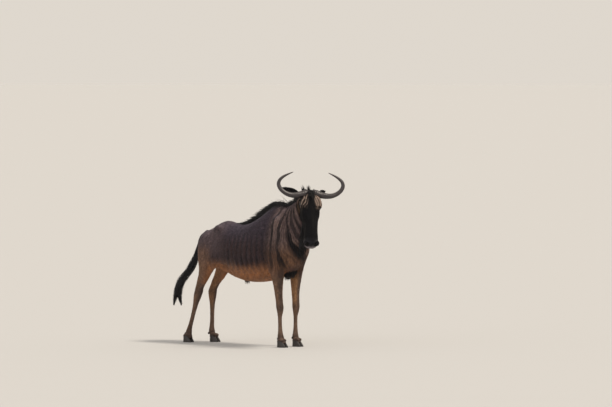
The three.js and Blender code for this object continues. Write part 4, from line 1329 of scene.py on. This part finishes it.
horn_keratin = keratin("horn keratin", "#120f11", "#443b3e", 0.4, 7, 0.05, 0.8)
HORN_SIDES, HORN_STEPS, HORN_DROP, RIDGE_MM = 40, 10, 13, 17
horn_rows = numbered(HORN)
rows = read_rows(horn_rows, between_rows(horn_rows, HORN_STEPS))
for name, side in SIDES.items():
    line = CROWN + (rows[:, 1:2] * side * head_right + (rows[:, 2:3] - HORN_DROP) * head_plumb
                    + rows[:, 3:4] * heading) * MM
    distance = np.concatenate([[0], np.cumsum(np.linalg.norm(np.diff(line, axis=0), axis=1))])
    ridge = np.sin(distance / MM * 2 * np.pi / RIDGE_MM) * smoothstep(0.22, 0.03, distance) * 1.4
    rings = tube_rings(line, rows[:, 4] + ridge - 0.5, HORN_SIDES)
    knobs = 1 + 0.03 * ripple(rings.reshape(-1, 3), 0.03, 8) * np.repeat(
        smoothstep(0.25, 0.05, distance), HORN_SIDES)
    middle = np.repeat(line, HORN_SIDES, axis=0)
    points = middle + (rings.reshape(-1, 3) - middle) * knobs[:, None]
    horn = new_object(f"horn_sheath_{name}",
                      *closed_surface(points.reshape(len(line), HORN_SIDES, 3)))
    angle = np.tile(np.linspace(0, 2 * np.pi, HORN_SIDES, endpoint=False), len(line))
    set_growth(horn.data, np.append(angle, [0, 0]),
               np.append(np.repeat(distance, HORN_SIDES), [0, distance[-1]]), 0.03)
    dress(horn, horn_keratin, "horn", f"horn_{name}")
print("horn length in m:", round(float(distance[-1]), 3))

# %% [markdown]
# Each foot has two claws. A claw is a wall of keratin that slopes forward, flat below, with a sole
# inside it, and it wears at the rim. It is lofted from level slices, like the leg above it.

# %% Hooves
CLAW = [
    [0, 88, -12, 17.5], [6, 87, -13.5, 18.6], [14, 84, -14, 18.5], [34, 68, -12, 18],
    [56, 50, -8, 16.5], [66, 42, 0, 13],
]
CLAW_SIDES = 36
hoof_keratin = keratin("hoof keratin", "#110e0d", "#332c28", 0.5, 6, 0.2, 0.8)
up, front, back, half = read_rows(CLAW, between_rows(CLAW, 5)).T
reach = (front - back) / 2
for foot, (foot_forward, foot_right) in FEET.items():
    side = SIDES[foot.split("_")[1]]
    for where, way in (("inner", -side), ("outer", side)):
        centre = place(foot_forward + (front + back) / 2, foot_right + way * CLAW_SPREAD, up)
        angle = np.linspace(0, 2 * np.pi, CLAW_SIDES, endpoint=False)
        rings = on_sections(centre[:, None], RIGHT, FORWARD, half[:, None], reach[:, None],
                            reach[:, None], 1.7, 2.6, angle[None])
        claw = new_object(f"claw_{foot}_{where}", *closed_surface(rings))
        set_growth(claw.data, np.append(np.tile(angle, len(up)), [0, 0]),
                   np.append(np.repeat(up * MM, CLAW_SIDES), [0, up[-1] * MM]), 0.02)
        dress(claw, hoof_keratin, "hoof", f"hoof_{foot}_{where}")
print("claws:", 2 * len(FEET))

# %% [markdown]
# A wildebeest's eye is dark brown with a pupil that lies level, under a wet clear cornea with an
# index of 1.38. At this size one ball with a painted iris and a clear coat reads as an eye. The lids
# are a soft rim round the slot that was pressed into the face.

# %% Eyes and lids
eye_material, tree = start_material("wet cornea over brown iris")
iris = node(tree, "ShaderNodeAttribute", attribute_name="coat_colour")
finish_material(tree, node(tree, "ShaderNodeBsdfPrincipled",
                           {"Base Color": iris.outputs["Color"], "Roughness": 0.12, "IOR": 1.38,
                            "Coat Weight": 1.0, "Coat Roughness": 0.03}))
lid_material, tree = start_material("bare lid skin")
mottle = node(tree, "ShaderNodeTexNoise", {"Scale": 180.0, "Detail": 3.0})
tint = node(tree, "ShaderNodeValToRGB", {"Fac": mottle.outputs["Fac"]})
tint.color_ramp.elements[0].color = (*linear("#0f0d0d"), 1)
tint.color_ramp.elements[1].color = (*linear("#2c2524"), 1)
finish_material(tree, node(tree, "ShaderNodeBsdfPrincipled",
                           {"Base Color": tint.outputs["Color"], "Roughness": 0.45, "IOR": 1.4}))

IRIS, RIM, PUPIL = linear("#2b180e"), linear("#080605"), linear("#020202")
LID_STEPS, LID_SIDES = 64, 12
SLOT_LONG, SLOT_HIGH = 19.5, 10.5
for name, side in SIDES.items():
    out, along, over = eye_axes(side)
    centre = on_head(EYE_DOWN, side * EYE_SIDE, EYE_FACE)
    ball = new_object(f"eyeball_{name}", *egg(centre, (EYE_RADIUS - 0.3,) * 3, (out, along, over),
                                             32, 48))
    offset = unit(vertices_of(ball.data) - centre)
    level = np.cross(out, UP)
    across_pupil = offset @ unit(level)
    above_pupil = offset @ unit(np.cross(level, out))
    facing_out = offset @ out
    ring = np.sqrt(across_pupil**2 + above_pupil**2)
    colour = mixed(IRIS, RIM, smoothstep(0.52, 0.66, ring))
    pupil = np.sqrt((across_pupil / 0.34) ** 2 + (above_pupil / 0.16) ** 2)
    colour = mixed(colour, PUPIL, smoothstep(1.1, 0.9, pupil) * (facing_out > 0))
    paint(ball.data, colour)
    dress(ball, eye_material, "eye", f"eye_{name}")
    angle = np.linspace(0, 2 * np.pi, LID_STEPS, endpoint=False)
    rim = (np.cos(angle)[:, None] * along * SLOT_LONG
           + np.sin(angle)[:, None] * over * SLOT_HIGH) * MM
    depth = np.sqrt(np.maximum((EYE_RADIUS + 1.0) ** 2 - (np.linalg.norm(rim, axis=1) / MM) ** 2, 40))
    line = centre + rim + out * depth[:, None] * MM
    thick = 1.7 + 1.3 * np.abs(np.sin(angle))
    tangent = unit(np.roll(line, -1, 0) - np.roll(line, 1, 0))
    away = unit(line - centre)
    sideways = np.cross(tangent, away)
    turn = np.linspace(0, 2 * np.pi, LID_SIDES, endpoint=False)[None, :, None]
    tube = line[:, None] + (np.cos(turn) * away[:, None] + np.sin(turn) * sideways[:, None]) * (
        thick[:, None, None] * MM)
    a = np.arange(LID_STEPS * LID_SIDES).reshape(LID_STEPS, LID_SIDES)
    b, ahead = np.roll(a, -1, 1), np.roll(a, -1, 0)
    faces = np.stack([a, ahead, np.roll(ahead, -1, 1), b], -1).reshape(-1, 4)
    lids = new_object(f"lids_{name}", tube.reshape(-1, 3), faces.tolist())
    dress(lids, lid_material, "face_coat")
print("eyes set at", EYE_SIDE, "mm from the middle")

# %% [markdown]
# The ears are narrow pointed leaves, folded into a cup whose open side faces forward. Each is a thin
# closed shell with short hair on both faces, nearly black outside and mottled grey inside.

# %% Ears
EAR = [
    [0, 20, 14, 0], [0.16, 24, 18, 0.1], [0.3, 33, 20, 0.55], [0.48, 37, 20, 0.72],
    [0.66, 31, 17, 0.74], [0.82, 20, 12, 0.7], [0.93, 10, 7, 0.4], [1, 3, 3, 0],
]
EAR_LENGTH = 205
EAR_TIPS = {"right": (290, 50, -110), "left": (180, 14, -235)}
EAR_OUTER, EAR_INNER = linear("#1b191c"), linear("#4a4546")


def ear_colour(points, normals, opening):
    colour = mixed(EAR_OUTER, EAR_INNER, smoothstep(0.0, 0.6, normals @ opening))
    return colour * np.clip(1 + 0.8 * ripple(points, 0.022, 9), 0.25, 2.2)[:, None]


def beside_crown(side, outward, plumb, ahead):
    return CROWN + (head_right * side * outward + head_plumb * plumb + heading * ahead) * MM


EAR_ROOT = (74, -34, -62)
EAR_SIDES, EAR_TUFTS = 56, 2600
along, half, depth, hollow = (column[:, None] for column in read_rows(EAR, between_rows(EAR, 8)).T)
angle = np.linspace(0, 2 * np.pi, EAR_SIDES, endpoint=False)[None]
dip = np.where(np.sin(angle) > 0, 1 - 2 * hollow * np.sin(angle), 1)
for name, side in SIDES.items():
    root, tip = beside_crown(side, *EAR_ROOT), beside_crown(side, *EAR_TIPS[name])
    axis = unit(tip - root)
    opening = heading - head_plumb * 0.25
    opening = unit(opening - axis * np.dot(opening, axis))
    across = np.cross(axis, opening)
    rings = (root + (along * EAR_LENGTH * MM)[..., None] * axis
             + ((half - 1) * np.cos(angle))[..., None] * across * MM
             + ((depth - 1) * np.sin(angle) * dip)[..., None] * opening * MM)
    ear = new_object(f"ear_leaf_{name}", *closed_surface(rings))
    points, normals = vertices_of(ear.data), normals_of(ear.data)
    paint(ear.data, ear_colour(points, normals, opening))
    set_comb(ear.data, points, np.full(len(points), HEAD_PART))
    dress(ear, skin_coat, "face_coat", f"ear_{name}")
    ear_roots, ear_normals, _ = scatter(ear.data, EAR_TUFTS)
    ear_lie = unit(axis + 0.2 * random.normal(size=(EAR_TUFTS, 3)))
    ear_lie = unit(ear_lie - ear_normals * np.sum(ear_lie * ear_normals, -1, keepdims=True))
    sizes = [random.uniform(*limits, EAR_TUFTS) * MM for limits in ((8, 16), (2, 3.4), (0.3, 1.6))]
    tufts(f"coat_ear_{name}", ear_roots, ear_normals, ear_lie, *sizes,
          np.full(EAR_TUFTS, HEAD_PART), tuft_coat, "face_coat",
          colours=ear_colour(ear_roots, ear_normals, opening))
print("ears:", len(EAR_TIPS))

# %% [markdown]
# The skin takes its material and stands for all the nodes of flesh. The dewclaws are small knobs of
# hoof keratin behind each fetlock.

# %% Dress the skin, and add the dewclaws
dress(skin, skin_coat, "body_coat", "torso", *PARTS[NECK_PART:])
skin_mesh.materials.append(face_coat)
middles = np.empty(len(skin_mesh.polygons) * 3)
skin_mesh.polygons.foreach_get("center", middles)
on_face = head_share(middles.reshape(-1, 3)) > 0.5
skin_mesh.polygons.foreach_set("material_index", on_face.astype(np.int32))
DEWCLAW_UP = 84
for foot in FEET:
    end, name = foot.split("_")
    _, _, back, right, _ = (value[0] for value in leg_rows(end, name, [DEWCLAW_UP]))
    knobs = [egg(place(back + 3, right + way * 17, DEWCLAW_UP), (13, 9, 10),
                 (unit(-UP - 0.2 * FORWARD), FORWARD, RIGHT), 10, 14) for way in (-1, 1)]
    dewclaws = new_object(f"dewclaws_{foot}", *joined(knobs))
    local = vertices_of(dewclaws.data)
    set_growth(dewclaws.data, local[:, 0] * 100, local[:, 2], 0.01)
    dress(dewclaws, hoof_keratin, "hoof")
print("pieces dressed")

# %% [markdown]
# The studio: a plain pale floor that reaches far past the animal, because the long lens sees a long
# way along it, and soft light. The key light comes from high on the right of the picture, as the sun
# does in the photo, with a broad fill from the camera's left so that the dark coat keeps its detail.

# %% Floor and light
floor_material, tree = start_material("pale studio paper")
finish_material(tree, node(tree, "ShaderNodeBsdfPrincipled",
                           {"Base Color": (*linear("#b9b9b9"), 1), "Roughness": 0.85}))
FLOOR_REACH = 2000
floor = new_object("floor", np.array([[-1, -1, 0], [1, -1, 0], [1, 1, 0], [-1, 1, 0]], float)
                   * FLOOR_REACH, [[0, 1, 2, 3]], smooth=False)
floor.data.materials.append(floor_material)

world = bpy.data.worlds.new("soft room")
world.use_nodes = True
background = world.node_tree.nodes["Background"]
background.inputs["Color"].default_value = (*linear("#f6eee3"), 1)
background.inputs["Strength"].default_value = 0.8
bpy.context.scene.world = world
bpy.context.scene.view_settings.view_transform = "Standard"


def broad_sun(name, toward, strength, spread_degrees, colour):
    """A lamp so far away that its light is even, and so broad that its shadows are soft."""
    data = bpy.data.lights.new(name, "SUN")
    data.energy = strength
    data.angle = math.radians(spread_degrees)
    data.color = linear(colour)
    lamp = bpy.data.objects.new(name, data)
    x, y, z = unit(toward)
    lamp.rotation_euler = (math.acos(z), 0, math.atan2(x, -y))
    bpy.context.scene.collection.objects.link(lamp)


broad_sun("key", picture_right * 0.6 + toward_camera * 0.3 + UP * 1.0, 2.7, 12, "#fff4e4")
broad_sun("fill", -picture_right * 0.9 + toward_camera * 1.0 + UP * 0.5, 0.5, 70, "#e4ecff")
